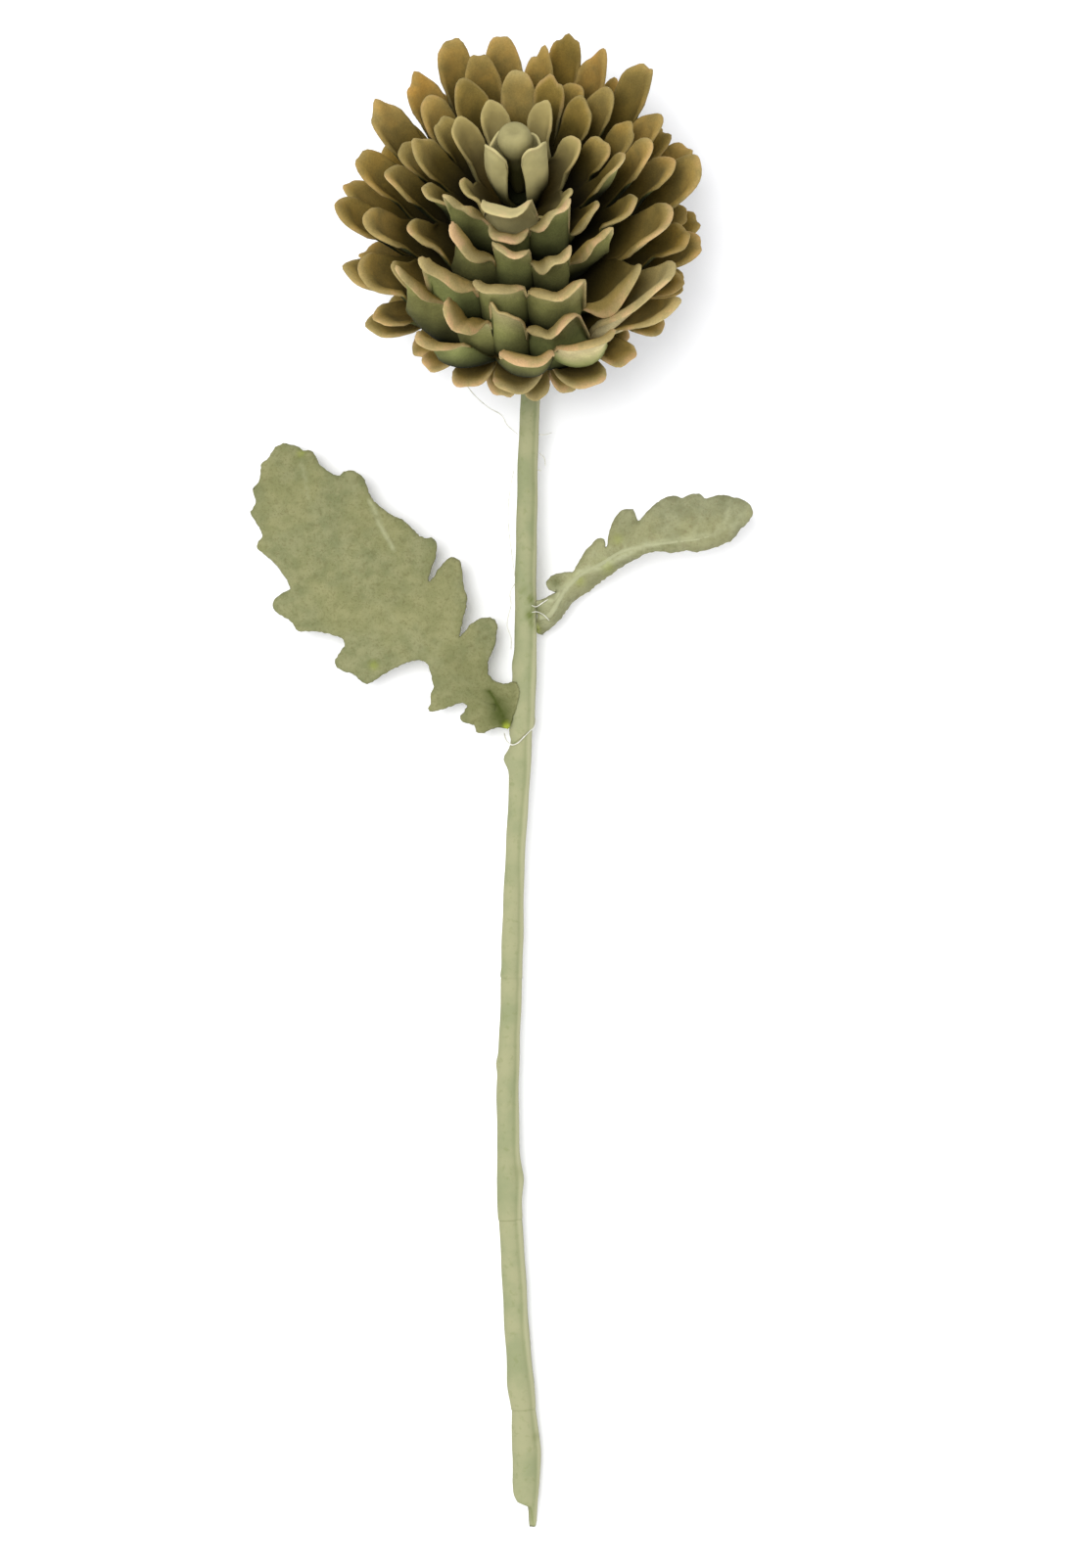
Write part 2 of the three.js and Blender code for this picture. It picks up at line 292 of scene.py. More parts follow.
def stem_material():
    """Pale green foam with a lighter seam, painted shade along the groove beside it, and darker rubbed
    patches.
    """
    s = Shader("stem_foam")
    cloud = s.noise(60.0, 5.0)
    fine = s.noise(380.0, 3.0)
    grain = s.noise(1300.0, 2.0, 0.7)
    body = s.mix(s.span(cloud, 0.35, 0.65), (0.245, 0.265, 0.14), (0.305, 0.305, 0.17))
    body = s.mix(s.span(fine, 0.55, 0.7, 0.0, 0.35), body, (0.19, 0.215, 0.085))
    body = s.mix(s.attribute("seam"), body, (0.365, 0.365, 0.215))
    # Painted shade: darker along the groove.
    body = s.mix(s.math("MULTIPLY", s.attribute("groove"), 0.5), body, (0.215, 0.24, 0.115))
    body = s.mix(s.attribute("stain_and_shade"), body, (0.10, 0.13, 0.02))
    return s.finish(body, 0.9, [(cloud, 0.3, 0.5), (fine, 0.2, 0.2), (grain, 0.3, 0.1)])


def leaf_material(name, dark, pale, fleck_colour):
    """Sage foam, mottled, with darker flecks, a paler rib, and dark green near the stem: painted shade in
    its folds and creases, with darker spots.
    """
    s = Shader(name)
    broad = s.noise(35.0, 3.0)
    cloud = s.noise(160.0, 5.0, 0.65)
    fleck = s.noise(330.0, 4.0, 0.6)
    grain = s.noise(1500.0, 2.0, 0.7)
    speck = s.noise(1000.0, 2.0, 0.7)
    body = s.mix(s.span(cloud, 0.35, 0.65), dark, pale)
    body = s.mix(s.span(broad, 0.42, 0.62, 0.0, 0.3), body, (0.26, 0.245, 0.10))
    body = s.mix(s.span(fleck, 0.54, 0.7, 0.0, 0.3), body, fleck_colour)
    body = s.mix(s.span(speck, 0.5, 0.7, 0.0, 0.35), body, fleck_colour)
    body = s.mix(s.attribute("vein"), body, (0.40, 0.41, 0.25))
    # Near-black green: painted shade in the folds and creases, with darker spots.
    body = s.mix(s.attribute("stain_and_shade"), body, (0.035, 0.050, 0.004))
    body = s.mix(s.attribute("flush"), body, (0.34, 0.40, 0.03))
    return s.finish(body, 0.92, [(cloud, 0.6, 0.7), (fleck, 0.45, 0.4), (grain, 0.35, 0.12)])


def wire_material():
    """Dull green paint on the wire."""
    s = Shader("painted_wire")
    cloud = s.noise(200.0, 3.0)
    body = s.mix(s.span(cloud, 0.3, 0.7), (0.12, 0.14, 0.07), (0.17, 0.18, 0.09))
    return s.finish(body, 0.55, [(cloud, 0.2, 0.1)])


def glue_material():
    """Milky threads of glue."""
    s = Shader("glue")
    cloud = s.noise(300.0, 2.0)
    body = s.mix(s.span(cloud, 0.3, 0.7), (0.55, 0.54, 0.46), (0.70, 0.69, 0.62))
    return s.finish(body, 0.4)


BRACT_FOAM = bract_material()
HEART_FOAM = heart_material()
STEM_FOAM = stem_material()
LEFT_LEAF_FOAM = leaf_material(
    "leaf_foam", dark=(0.165, 0.175, 0.08), pale=(0.225, 0.225, 0.112), fleck_colour=(0.10, 0.09, 0.032))
RIGHT_LEAF_FOAM = leaf_material(
    "leaf_foam_pale", dark=(0.21, 0.215, 0.115), pale=(0.28, 0.285, 0.16), fleck_colour=(0.15, 0.12, 0.06))
WIRE_PAINT = wire_material()
GLUE = glue_material()


# Meshes
EDGE_OUT = 0.75    # how far a sheet's rounded edge stands out, as a share of half its thickness


def build_mesh(points, faces, layers):
    mesh = bpy.data.meshes.new("mesh")
    mesh.from_pydata([tuple(p) for p in np.asarray(points) * MM], [], faces)
    for key, values in layers.items():
        layer = mesh.attributes.new(key, "FLOAT", "POINT")
        layer.data.foreach_set("value", np.asarray(values, np.float32))
    mesh.shade_smooth()
    return mesh


def add_object(name, data):
    thing = bpy.data.objects.new(name, data)
    bpy.context.scene.collection.objects.link(thing)
    return thing


def new_piece(name, mesh, material, slot, *nodes):
    """A piece that rides on the part and stands for the nodes, if there are any. slot is not used."""
    mesh.name = name
    piece = add_object(name, mesh)
    mesh.materials.append(material)
    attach(piece, "root")
    if nodes:
        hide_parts(*nodes)
    return piece


def ring_faces(first, rings, sides):
    """The faces between rings of points that follow each other, from point number first on."""
    faces = []
    for start in range(first, first + (rings - 1) * sides, sides):
        for k in range(sides):
            a, b = start + k, start + (k + 1) % sides
            faces.append((a, b, b + sides, a + sides))
    return faces


def add_tube(points, faces, base, along, wide, high, sides):
    """Adds a closed tube round base. wide and high are its half width and half height at each place."""
    first = len(points)
    for b, r, u, w, h in zip(base, *cross_axes(along), wide, high):
        for k in range(sides):
            a = 2 * math.pi * k / sides
            points.append(b + r * w * math.sin(a) + u * h * math.cos(a))
    faces += ring_faces(first, len(base), sides)
    faces.append(tuple(first + k for k in reversed(range(sides))))
    faces.append(tuple(len(points) - sides + k for k in range(sides)))


def vertex_normals(points, faces):
    normals = np.zeros_like(points)
    for face in faces:
        a, b, c = points[face[0]], points[face[1]], points[face[2]]
        n = np.cross(b - a, c - a)
        if len(face) == 4:
            n = n + np.cross(c - a, points[face[3]] - a)
        for k in face:
            normals[k] += n
    return unit(normals)


def thick_sheet(points, faces, thickness, layers):
    """A closed sheet with rounded edges round the middle surface. layers are numbers per middle vertex.
    An attribute "face" is 1 on the side that the normals point to, 0 on the other and between on the edge."""
    normals = vertex_normals(points, faces)
    half = np.broadcast_to(np.asarray(thickness, float) / 2, (len(points),))[:, None]
    count = len(points)
    used = {(a, face[(i + 1) % len(face)]) for face in faces for i, a in enumerate(face)}
    border = [(a, b) for a, b in sorted(used) if (b, a) not in used]
    outward = np.zeros_like(points)
    for a, b in border:
        out = np.cross(points[b] - points[a], normals[a])
        out /= max(norm(out), 1e-9)
        outward[a] += out
        outward[b] += out
    rim_ids = sorted({a for a, _ in border} | {b for _, b in border})
    rim_of = {v: 2 * count + i for i, v in enumerate(rim_ids)}
    rim = points[rim_ids] + unit(outward[rim_ids]) * half[rim_ids] * EDGE_OUT
    every = np.concatenate([points + normals * half, points - normals * half, rim])
    polygons = faces + [tuple(count + k for k in reversed(f)) for f in faces]
    for a, b in border:
        polygons.append((b, a, rim_of[a], rim_of[b]))
        polygons.append((rim_of[b], rim_of[a], count + a, count + b))
    all_layers = {"face": np.concatenate([np.ones(count), np.zeros(count), np.full(len(rim_ids), 0.5)])}
    for key, values in layers.items():
        all_layers[key] = np.concatenate([values, values, values[rim_ids]])
    return build_mesh(every, polygons, all_layers)


# Bracts
FOAM_THICKNESS = 1.7
TIP_THINNING = 0.35
LIP_WIDTH = 5.5
ACROSS = 14
ALONG = 18
ROW_CROWDING = 1.6

# A bract's line: how far its slopes reach and how long it is, as shares of the way from hub to tip. What a
# wall adds to each, its slopes in degrees, and how much less steeply it sets off.
LAUNCH_PULL = 0.42
END_PULL = 0.36
LINE_LENGTH = 1.12
WALL_LAUNCH_PULL = 0.20
WALL_PULL = 0.26
WALL_LENGTH = 0.25
WALL_SLOPE = 92
WALL_DROP = 8
WALL_FLATTENING = 0.65

# The front starts at one cosine of the azimuth and is full at a higher one. There, neighbours part later.
FRONT_START = 0.6
FRONT_GROWTH = 0.32
FRONT_SLIT = 0.40
SLIT_ROUND = 0.2

# A front bract is longer on its outer side, as a share of its length, and turns out there, in mm.
TILT_PER_DEGREE = 0.006
SKEW_PER_DEGREE = 0.17

# How round and how ragged a tip is, and what is added behind.
ROUNDNESS = 0.62
ROUNDNESS_BEHIND = 0.22
RAGGED = 0.018
RAGGED_BEHIND = 0.032

# How much narrower a bract is halfway up, and how much broader behind.
SPOON = 0.24
SPREAD_BEHIND = 0.45

# The share of a bract's hollow that lies below its line, and how steeply the hollow's sides rise.
HOLLOW_BELOW = 0.4
HOLLOW_POWER = 2.6

# On the camera's side the middle of every tip flares outward.
FLARE = 7.5
FLARE_REACH = 9.0
RUFFLE = 0.3
RUFFLE_REACH = 7.0

# How wide the pale rim is, in mm, and how pale, with what the front adds. The rim's tan is the foam's own,
# and its paleness, most on the camera's side, is painted highlight.
RIM_WIDTH = 1.1
RIM_WIDTH_FRONT = 2.0
RIM_STRENGTH = 0.3
RIM_STRENGTH_FRONT = 0.6

# Chance changes a bract's lean and its turn. Every other bract lies higher by twice the tuck.
CHANCE_LEAN = 0.035
CHANCE_TURN = 1.1
TUCK = 0.5


@dataclass
class Lobe:
    """One bract. azimuth 0 faces the camera and grows to the right. width is at its widest, and reach is its
    length as a share of the rosette's. cup is its hollow, lip how far its edge curls out, skew turns its
    right side in, and flop bends its tip outward. square is 0 for a round tip and 1 for a broad one, pale is
    how much further down its pale tip goes, as a share of its length, and brown is from 0 to 1. pale moves
    the painted shade down the bract and paints its tip lighter, as painted light."""

    azimuth: float
    width: float = None
    reach: float = 1.0
    cup: float = None
    lip: float = None
    skew: float = 0.0
    square: float = 0.0
    flop: float = 0.0
    pale: float = 0.0
    brown: float = 0.0


@dataclass
class Rosette:
    """hub is the height of its hole, tip the radius and height its bracts reach, launch and end their slopes,
    wall how far they turn up on the camera's side, sink how much lower such a wall is, slit the share of the
    length where neighbours part, and warm how orange the tips are. A plain lobe is (azimuth, width, reach).
    A lobe without a width, cup or lip of its own takes the rosette's."""

    hub: float
    tip: tuple
    launch: float
    end: float
    wall: float
    sink: float
    slit: float
    width: float
    cup: float
    lip: float
    warm: float
    lobes: list

    def __post_init__(self):
        self.lobes = [Lobe(*lobe) if isinstance(lobe, tuple) else lobe for lobe in self.lobes]
        self.lobes.sort(key=lambda lobe: lobe.azimuth)
        for lobe in self.lobes:
            for key in ("width", "cup", "lip"):
                if getattr(lobe, key) is None:
                    setattr(lobe, key, getattr(self, key))


# From the innermost to the outermost. The visible bracts follow their tips in the photo.
ROSETTES = [
    Rosette(15, (10.5, 51), 66, 90, 0.0, 0, 0.0, 13, 1.5, 0.3, 0.0, [
        Lobe(-60, 14, cup=0.5, skew=2), Lobe(50, 13.5, 1.08, cup=0.5, skew=-2, square=0.2), (140, 11, 0.72),
        (-140, 11, 0.72)]),
    Rosette(9, (24, 42), 50, 76, 1.0, 0, 0.4, 13, 3.0, 1.2, 0.1, [
        Lobe(-6, 20, 1.15, cup=3, lip=2.5, square=0.5, flop=5), Lobe(46, 11, 0.75, brown=0.9),
        Lobe(103, 13, 0.95, cup=2.5, brown=0.85), Lobe(155, 10.5, brown=0.6),
        Lobe(-157, 12.5, 1.03, brown=0.7), Lobe(-118, 15, 1.13, cup=4, brown=0.85),
        Lobe(-66, 12, 0.72, brown=0.9)]),
    Rosette(3, (38, 42), 28, 78, 1.0, 13, 0.45, 14, 3.5, 1.8, 0.2, [
        Lobe(-5, 20, 1.1, cup=5.5, lip=3.6, square=0.6), Lobe(22, 20, 1.2, cup=2.5, square=0.4),
        (50, 13, 0.85), (78, 18, 1.1), (107, 12, 0.8), (136, 12, 0.9), (159, 12),
        Lobe(178, 15, cup=2.5, pale=0.2), (-150, 14.5), (-127, 12, 0.85), (-101, 15, 0.95), (-72, 14, 0.85),
        Lobe(-32, 12, 1.25, cup=0, square=0.4)]),
    Rosette(-3, (49, 40), 12, 78, 1.0, 12, 0.45, 14.5, 4, 2.2, 0.35, [
        Lobe(-2, 18, 1.15, cup=1, lip=2.4, square=0.7), Lobe(16, 18, 1.05, cup=3, lip=3.6, square=0.6),
        Lobe(36, 12, 1.05, cup=0, square=0.3), (66, 16, 0.85), (93, 14), (113, 12, 0.85), (135, 12, 0.9),
        (152, 11, 0.85), (170, 11), (-163, 14), (-133, 13, 0.9), (-110, 12, 0.8), (-86, 16, 0.95),
        (-56, 15, 0.85), Lobe(-22, 16, 1.15, cup=3.5, lip=3.6, square=0.4)]),
    Rosette(-9, (62, 33), 2, 76, 1.0, 16, 0.5, 14.5, 4.5, 2.4, 0.5, [
        Lobe(-8, 26, 1.15, cup=4, lip=3.6, square=0.6), Lobe(15, 30, 1.1, cup=5, lip=3.8, square=0.6),
        (40, 17, 0.85), Lobe(66, 28, 0.95, cup=5, square=0.2, pale=0.2), (98, 14, 0.85), (118, 14, 0.9),
        (131, 15, 1.1), (150, 13), (162, 13, 1.05), (-174, 14.5), (-155, 14.5, 1.1), (-140, 13.5, 0.95),
        (-120, 15.5), (-100, 15, 0.9), (-72, 18, 0.9), Lobe(-27, 21, 1.15, cup=3.5, lip=4, square=0.35),
        (-46, 15, 0.9)]),
    Rosette(-15, (69, 17), -6, 72, 0.9, 27, 0.5, 15, 4.5, 2.6, 0.6, [
        Lobe(-18, 17, 1.25, cup=2, lip=3.6, square=0.4, flop=8, pale=0.05),
        Lobe(-6, 22, 1.2, cup=1, lip=1.5, square=0.4, flop=-4),
        Lobe(10, 34, 1.15, cup=6, lip=3.6, square=0.6), Lobe(46, 42, 1.05, cup=7, square=0.5, pale=0.5),
        (76, 14, 0.85), (99, 20), (122, 12, 0.85), (145, 11, 0.95), (168, 13, 0.95), (-168, 13, 0.95),
        (-148, 13, 0.9), (-131, 12, 0.85), (-113, 12, 0.8), (-100, 14, 0.9), (-87, 17),
        Lobe(-62, 22, 0.9, cup=5.5, square=0.2), Lobe(-35, 12, 1.3, cup=3, square=0.4)]),
    Rosette(-21, (70, -2), -12, 62, 0.35, 8, 0.5, 15, 4.5, 2.6, 0.7, [
        Lobe(2, 26, 1.3, cup=6, lip=4.2, square=0.55), Lobe(20, 27, 1.3, cup=6, square=0.4, pale=0.15),
        Lobe(49, 25, 1.1, cup=5, square=0.2, pale=0.3), (66, 14, 0.9), (82, 17, 0.95), (98, 12, 0.85),
        (117, 13, 1.05), (128, 12, 0.95), (150, 15, 0.95), (176, 15, 0.95), (-150, 14, 0.95),
        (-128, 14, 0.95), (-103, 13, 0.85), (-72, 17), (-54, 14, 0.95),
        Lobe(-24, 16, 1.3, cup=6, lip=3.2, square=0.4)]),
    Rosette(-27, (67, -20), -18, 40, 0.1, 0, 0.5, 15, 4.5, 2.0, 0.7, [
        Lobe(-3, 24, 0.95, cup=5, square=0.4), Lobe(21, 24, 1.05, cup=5, square=0.3), (36, 16),
        (55, 15, 0.95), (74, 16, 0.95), (99, 14, 1.05), (120, 15), (148, 15), (180, 15), (-148, 15),
        (-121, 15), (-94, 12, 0.95), (-84, 14, 1.05), (-59, 20, 1.05), (-34, 14, 0.95), (-21, 17, 0.95)]),
    Rosette(-33, (57, -40), -24, 4, 0.0, 0, 0.5, 15, 4.5, 1.4, 0.6, [
        (-31, 12, 0.9), (-11, 16), Lobe(4, 12, 1.05, cup=3), (17, 13), (42, 13, 0.95), (52, 9, 0.9),
        (76, 15), (100, 16), (132, 16), (164, 16), (-164, 16), (-130, 16), (-104, 15), (-77, 15),
        (-53, 15)]),
    Rosette(-39, (39, -53.5), -30, -26, 0.0, 0, 0.5, 14, 3.5, 1.0, 0.6, [
        Lobe(-30, reach=0.9), Lobe(6, 12, 1.1, cup=2), (42,), (80,), (120,), (160,), (-160,), (-116,),
        (-74,)]),
]


def cubic(points, t):
    """Point and derivative on a cubic Bezier curve. Past its end it goes on straight."""
    p0, p1, p2, p3 = points
    over = np.maximum(t - 1.0, 0.0)[..., None]
    t = np.minimum(t, 1.0)[..., None]
    u = 1.0 - t
    place = u**3 * p0 + 3 * u * u * t * p1 + 3 * u * t * t * p2 + t**3 * p3
    slope = 3 * u * u * (p1 - p0) + 6 * u * t * (p2 - p1) + 3 * t * t * (p3 - p2)
    return place + over * slope, slope


def toward(slope, length):
    return np.stack([length * np.cos(slope), length * np.sin(slope)], -1)


def frontness(cosine):
    """1 where a bract faces the camera and 0 from the flanks on, by the cosine of its azimuth."""
    return smooth((cosine - FRONT_START) / FRONT_GROWTH)


def bract_line(spec, share, wall):
    """Radius and height, the unit normal towards the bud, and the length, along a bract's middle. As a wall
    it sets off lower and turns up sooner."""
    start = np.array([HUB_RADIUS, spec.hub], float)
    stop = np.array(spec.tip, float)
    length = norm(stop - start)
    stop = stop - np.multiply.outer(spec.sink * wall, (math.cos(HEAD_RISE), math.sin(HEAD_RISE)))
    launch = np.radians(spec.launch * (1 - WALL_FLATTENING * wall) - WALL_DROP * wall)
    end = np.radians(spec.end + (WALL_SLOPE - spec.end) * wall)
    first = start + toward(launch, (LAUNCH_PULL + WALL_LAUNCH_PULL * wall) * length)
    second = stop - toward(end, (END_PULL + WALL_PULL * wall) * length)
    place, slope = cubic((start, first, second, stop), share)
    slope = unit(slope)
    normal = np.stack([-slope[..., 1], slope[..., 0]], -1)
    return place, normal, (LINE_LENGTH + WALL_LENGTH * wall) * length


def slit_share(spec, azimuth):
    """Where neighbours part. On the side of the camera they stay together longer."""
    return spec.slit + FRONT_SLIT * spec.wall * max(0.0, math.cos(math.radians(azimuth))) ** 2


def turned(spec, lobe):
    """How far a bract of the camera's side stands to the right, in degrees, less towards the flanks."""
    return lobe.azimuth * float(frontness(math.cos(math.radians(lobe.azimuth)))) * min(1.0, 3 * spec.wall)


def skew_of(spec, lobe):
    """How far a bract's right side turns in, in mm. The outer side of a front bract turns out."""
    return lobe.skew - SKEW_PER_DEGREE * turned(spec, lobe)


def side_hollow(spec, lobe, sign):
    """How far a bract's left (-1) or right (1) side turns in, in mm."""
    return (1 - HOLLOW_BELOW) * lobe.cup + sign * skew_of(spec, lobe)


def edge_line(spec, me, far, across, wobble):
    """The share of its length at which a bract ends, for the places across it."""
    side = np.abs(across)
    chord = math.hypot(spec.tip[0] - HUB_RADIUS, spec.tip[1] - spec.hub)
    roundness = (ROUNDNESS + ROUNDNESS_BEHIND * far) * (1 - 0.85 * me.square) * me.width / chord
    dome = np.maximum(0, 1 - side ** (2.3 + 3 * me.square)) ** (0.45 + 0.1 * far)
    ragged = wobble[0] * np.sin(2.6 * across + 3 * wobble[1])
    ragged = ragged + 0.6 * wobble[2] * np.sin(6.5 * across + 3 * wobble[3])
    return 1 - min(0.5, roundness) * (1 - dome) + (RAGGED + RAGGED_BEHIND * far) * ragged * (1 - side**2)


def bract_grid(spec, k):
    """The middle surface of bract k on a grid, with the share of its length and the distance to its rim."""
    lobes = spec.lobes
    me, before, after = lobes[k], lobes[k - 1], lobes[(k + 1) % len(lobes)]
    gaps = ((me.azimuth - before.azimuth) % 360) / 2, ((after.azimuth - me.azimuth) % 360) / 2
    slits = slit_share(spec, me.azimuth - gaps[0]), slit_share(spec, me.azimuth + gaps[1])
    far = 0.5 - 0.5 * math.cos(math.radians(me.azimuth))
    near = 1 - far
    wobble = [rng.uniform(-1, 1) for _ in range(4)]
    phases = [rng.uniform(0, 2 * math.pi) for _ in range(4)]

    # The grid is finer towards the tip and towards both sides.
    row = 1 - (1 - np.linspace(0, 1, ALONG + 1)[:, None]) ** ROW_CROWDING
    across = np.linspace(-1, 1, ACROSS + 1)[None, :]
    across = 0.5 * across + 0.5 * np.sin(across * math.pi / 2)
    side = np.abs(across)
    left = across < 0
    edge_share = edge_line(spec, me, far, across, wobble)
    share = row * edge_share
    slit = np.where(left, *slits)
    free = smooth((share - slit) / SLIT_ROUND)

    # Up to the slit a bract fills the gap to its neighbours, and past it it has its own width.
    gap = np.where(left, *gaps)
    half = math.degrees(me.width / 2 / (spec.tip[0] * me.reach))
    spoon = 1 - (SPOON - SPOON * me.square) * (1 - smooth((share - 0.5) / 0.4))
    spread = 1 + SPREAD_BEHIND * far * smooth((1 - share) / 0.6)
    reach_angle = gap * (1 - free) + np.minimum(half * spoon * spread, gap) * free
    azimuth = np.radians(me.azimuth + across * reach_angle)

    neighbour = np.where(left, before.reach, after.reach)
    blend = 0.5 * smooth(side) * (1 - free)
    lean = TILT_PER_DEGREE * turned(spec, me) + CHANCE_LEAN * wobble[3]
    reach = me.reach * (1 - blend) + neighbour * blend + lean * across * free
    wall = spec.wall * frontness(np.cos(azimuth))
    place, normal, length = bract_line(spec, share * (1 + (reach - 1) * smooth(share)), wall)

    half_mm = np.radians(reach_angle) * place[..., 0]
    from_side = np.hypot((1 - side) * half_mm, np.maximum(0, slit - share) * length)
    from_tip = (edge_share - share) * length
    edge = np.maximum(np.minimum(from_side, from_tip), 0)

    hollow = me.cup * (side**HOLLOW_POWER - HOLLOW_BELOW)
    hollow = hollow + (skew_of(spec, me) + CHANCE_TURN * wobble[2]) * across
    joint = np.where(left, side_hollow(spec, before, 1) - side_hollow(spec, me, -1),
                     side_hollow(spec, after, -1) - side_hollow(spec, me, 1)) / 2
    hollow = smooth((share - 0.1) / 0.6) * (hollow + joint * side**3 * (1 - free))
    curl = me.lip * fade(edge, LIP_WIDTH) ** 2 * smooth((share - 0.3) / 0.3)
    curl = curl * (0.35 + 0.65 * fade(from_tip, LIP_WIDTH))
    flare = (FLARE * wall + me.flop) * (1 - side**4)
    flare = flare * fade(from_tip, FLARE_REACH + 0.6 * me.flop) ** 2
    ruffle = RUFFLE * near * np.sin(5.5 * across + phases[2]) * fade(from_tip, RUFFLE_REACH)
    wander = 0.5 * np.sin(2.1 * across + phases[0]) * np.sin(3.0 * share + phases[1])
    wander = wander + 0.35 * np.sin(5.0 * across + phases[2]) * np.sin(5.0 * share + phases[3])
    wander = wander + near * (0.45 * np.sin(4.0 * across + phases[1]) * np.sin(6.0 * share + phases[0]))
    tuck = TUCK if k % 2 else -TUCK
    place = place + normal * (hollow - curl - flare + ruffle + (wander + tuck) * free)[..., None]
    points = np.stack([place[..., 0] * np.sin(azimuth), -place[..., 0] * np.cos(azimuth), place[..., 1]], -1)
    return points, share, edge * far + from_tip * (1 - far), slits


def rosette_mesh(spec):
    """All bracts of a rosette as one sheet: neighbours share their side columns up to the slit."""
    rows, faces, count = [], [], 0
    for k, me in enumerate(spec.lobes):
        grid, share, edge, slits = bract_grid(spec, k)
        # Painted highlight: the pale rim is wider and stronger towards the camera's side.
        front = 0.5 + 0.5 * math.cos(math.radians(me.azimuth))
        rim_width = RIM_WIDTH + RIM_WIDTH_FRONT * front**2
        rim_strength = RIM_STRENGTH + RIM_STRENGTH_FRONT * front**3
        tint = rng.random()
        warm = spec.warm * (1.25 - 0.9 * front) * rng.uniform(0.6, 1.25)

        ids = np.full(share.shape, -1)
        if k > 0:
            joined = (share[:, 0] <= slits[0]) & (last_share <= slits[0])
            ids[joined, 0] = last_ids[joined]
        if me is spec.lobes[-1]:
            joined = share[:, -1] <= slits[1]
            ids[joined, -1] = first_ids[joined]
        own = ids < 0
        ids[own] = count + np.arange(own.sum())
        count += own.sum()
        if k == 0:
            first_ids = ids[:, 0]
        last_ids, last_share = ids[:, -1], share[:, -1]

        # along drives the foams' painted shade; pale moves it down the lobe and paints the tip lighter, as
        # painted light.
        along = share[own] + me.pale * smooth((share[own] - 0.3) / 0.4)
        rim = rim_strength * smooth(1.1 - edge[own] / rim_width)
        same = [np.full(len(along), value) for value in (tint, warm, me.brown)]
        rows.append(np.column_stack([grid[own], along, rim, *same]))
        corners = np.stack([ids[:-1, :-1], ids[1:, :-1], ids[1:, 1:], ids[:-1, 1:]], -1)
        faces += [tuple(face) for face in corners.reshape(-1, 4).tolist()]
    rows = np.vstack(rows)
    layers = dict(zip(("along", "rim", "tint", "warm", "brown"), rows[:, 3:].T))
    layers["rim"] = layers["rim"] * smooth((layers["along"] - 0.35) / 0.4)
    thickness = FOAM_THICKNESS * (1 - TIP_THINNING * layers["along"])
    return thick_sheet(to_world(rows[:, :3]), faces, thickness, layers)


for k, spec in enumerate(ROSETTES, 1):
    name = f"bracts_{k:02d}"
    foam, slot = (HEART_FOAM, "heart_foam") if k <= 2 else (BRACT_FOAM, "bract_foam")
    new_piece(name + "_foam", rosette_mesh(spec), foam, slot, name)

# Bud: a turned post with a domed, dimpled head. Points are (radius, height) along the head's axis. Its along
# rises from 0 at the foot to BUD_PALE at the top, so the heart foam paints the post dark as painted shade.
BUD = [(3.4, 18.2), (3.3, 30), (3.3, 37), (3.9, 40), (5.2, 43), (6.4, 46), (7.0, 49.3), (6.7, 51.8),
       (5.6, 54), (4.0, 55.2), (2.6, 55.2), (1.3, 54.7), (0.0, 54.4)]
BUD_SIDES = 48
BUD_PALE = 0.41


def bud_mesh():
    rings = [p for p in BUD if p[0] > 0]
    turn = [2 * math.pi * k / BUD_SIDES for k in range(BUD_SIDES)]
    points = [(r * math.sin(a), -r * math.cos(a), h) for r, h in rings for a in turn]
    points += [(0, 0, BUD[-1][1]), (0, 0, BUD[0][1])]
    top, foot = len(points) - 2, len(points) - 1
    last = top - BUD_SIDES
    faces = ring_faces(0, len(rings), BUD_SIDES)
    faces += [(last + k, last + (k + 1) % BUD_SIDES, top) for k in range(BUD_SIDES)]
    faces += [((k + 1) % BUD_SIDES, k, foot) for k in range(BUD_SIDES)]
    low, high = BUD[0][1], max(h for _, h in BUD)
    # Painted shade: this along puts the post low on the heart foam's dark ramp.
    along = [BUD_PALE * (p[2] - low) / (high - low) for p in points]
    zero = [0.0] * len(points)
    return build_mesh(to_world(points), faces, {"along": along, "rim": zero, "warm": zero, "face": zero})


bud = new_piece("bud_foam", bud_mesh(), HEART_FOAM, "heart_foam", "bud")
swell = bud.modifiers.new("round", "SUBSURF")
swell.levels = swell.render_levels = 1

# Stem: the line of the wire, then a foam wrap for each length of it.
STEM_LINE = [
    (9.9, -292.6, 5.5), (10.1, -270.3, 5.7), (9.1, -254.5, 6.0), (7.1, -229.8, 6.6), (5.1, -197.4, 7.6),
    (3.5, -167.0, 8.5), (2.7, -124.4, 9.9), (3.3, -100.1, 10.6), (4.2, -75.9, 11.3), (5.3, -35.3, 12.5),
    (7.5, 5.1, 13.7), (8.3, 22.5, 14.2), (9.8, 53.6, 15.1), (10.2, 85.9, 16.0), (10.6, 126.3, 17.2),
    (12.0, 164.0, 18.2), (12.0, 175.0, 18.4), (11.9, 183.0, 18.5), (11.8, 189.5, 18.7), (11.6, 195.0, 19.5),
    (11.4, 200.4, 21.6), (11.2, 205.0, 25.0), tuple(to_world([(0, 0, CORE_BOTTOM)])[0]),
]
STEM = Line(STEM_LINE)
WRAP_BORE = 2.0
WRAP_SIDES = 44
WRAP_RING = 1.6
WRAP_WAVE = 0.12
WRAP_RIPPLE = 0.10
END_ROUND = 0.9
CUT_DARK = 0.4
CUT_WIDTH = 0.5
STEM_HEIGHT = 15    # where its photo positions lie

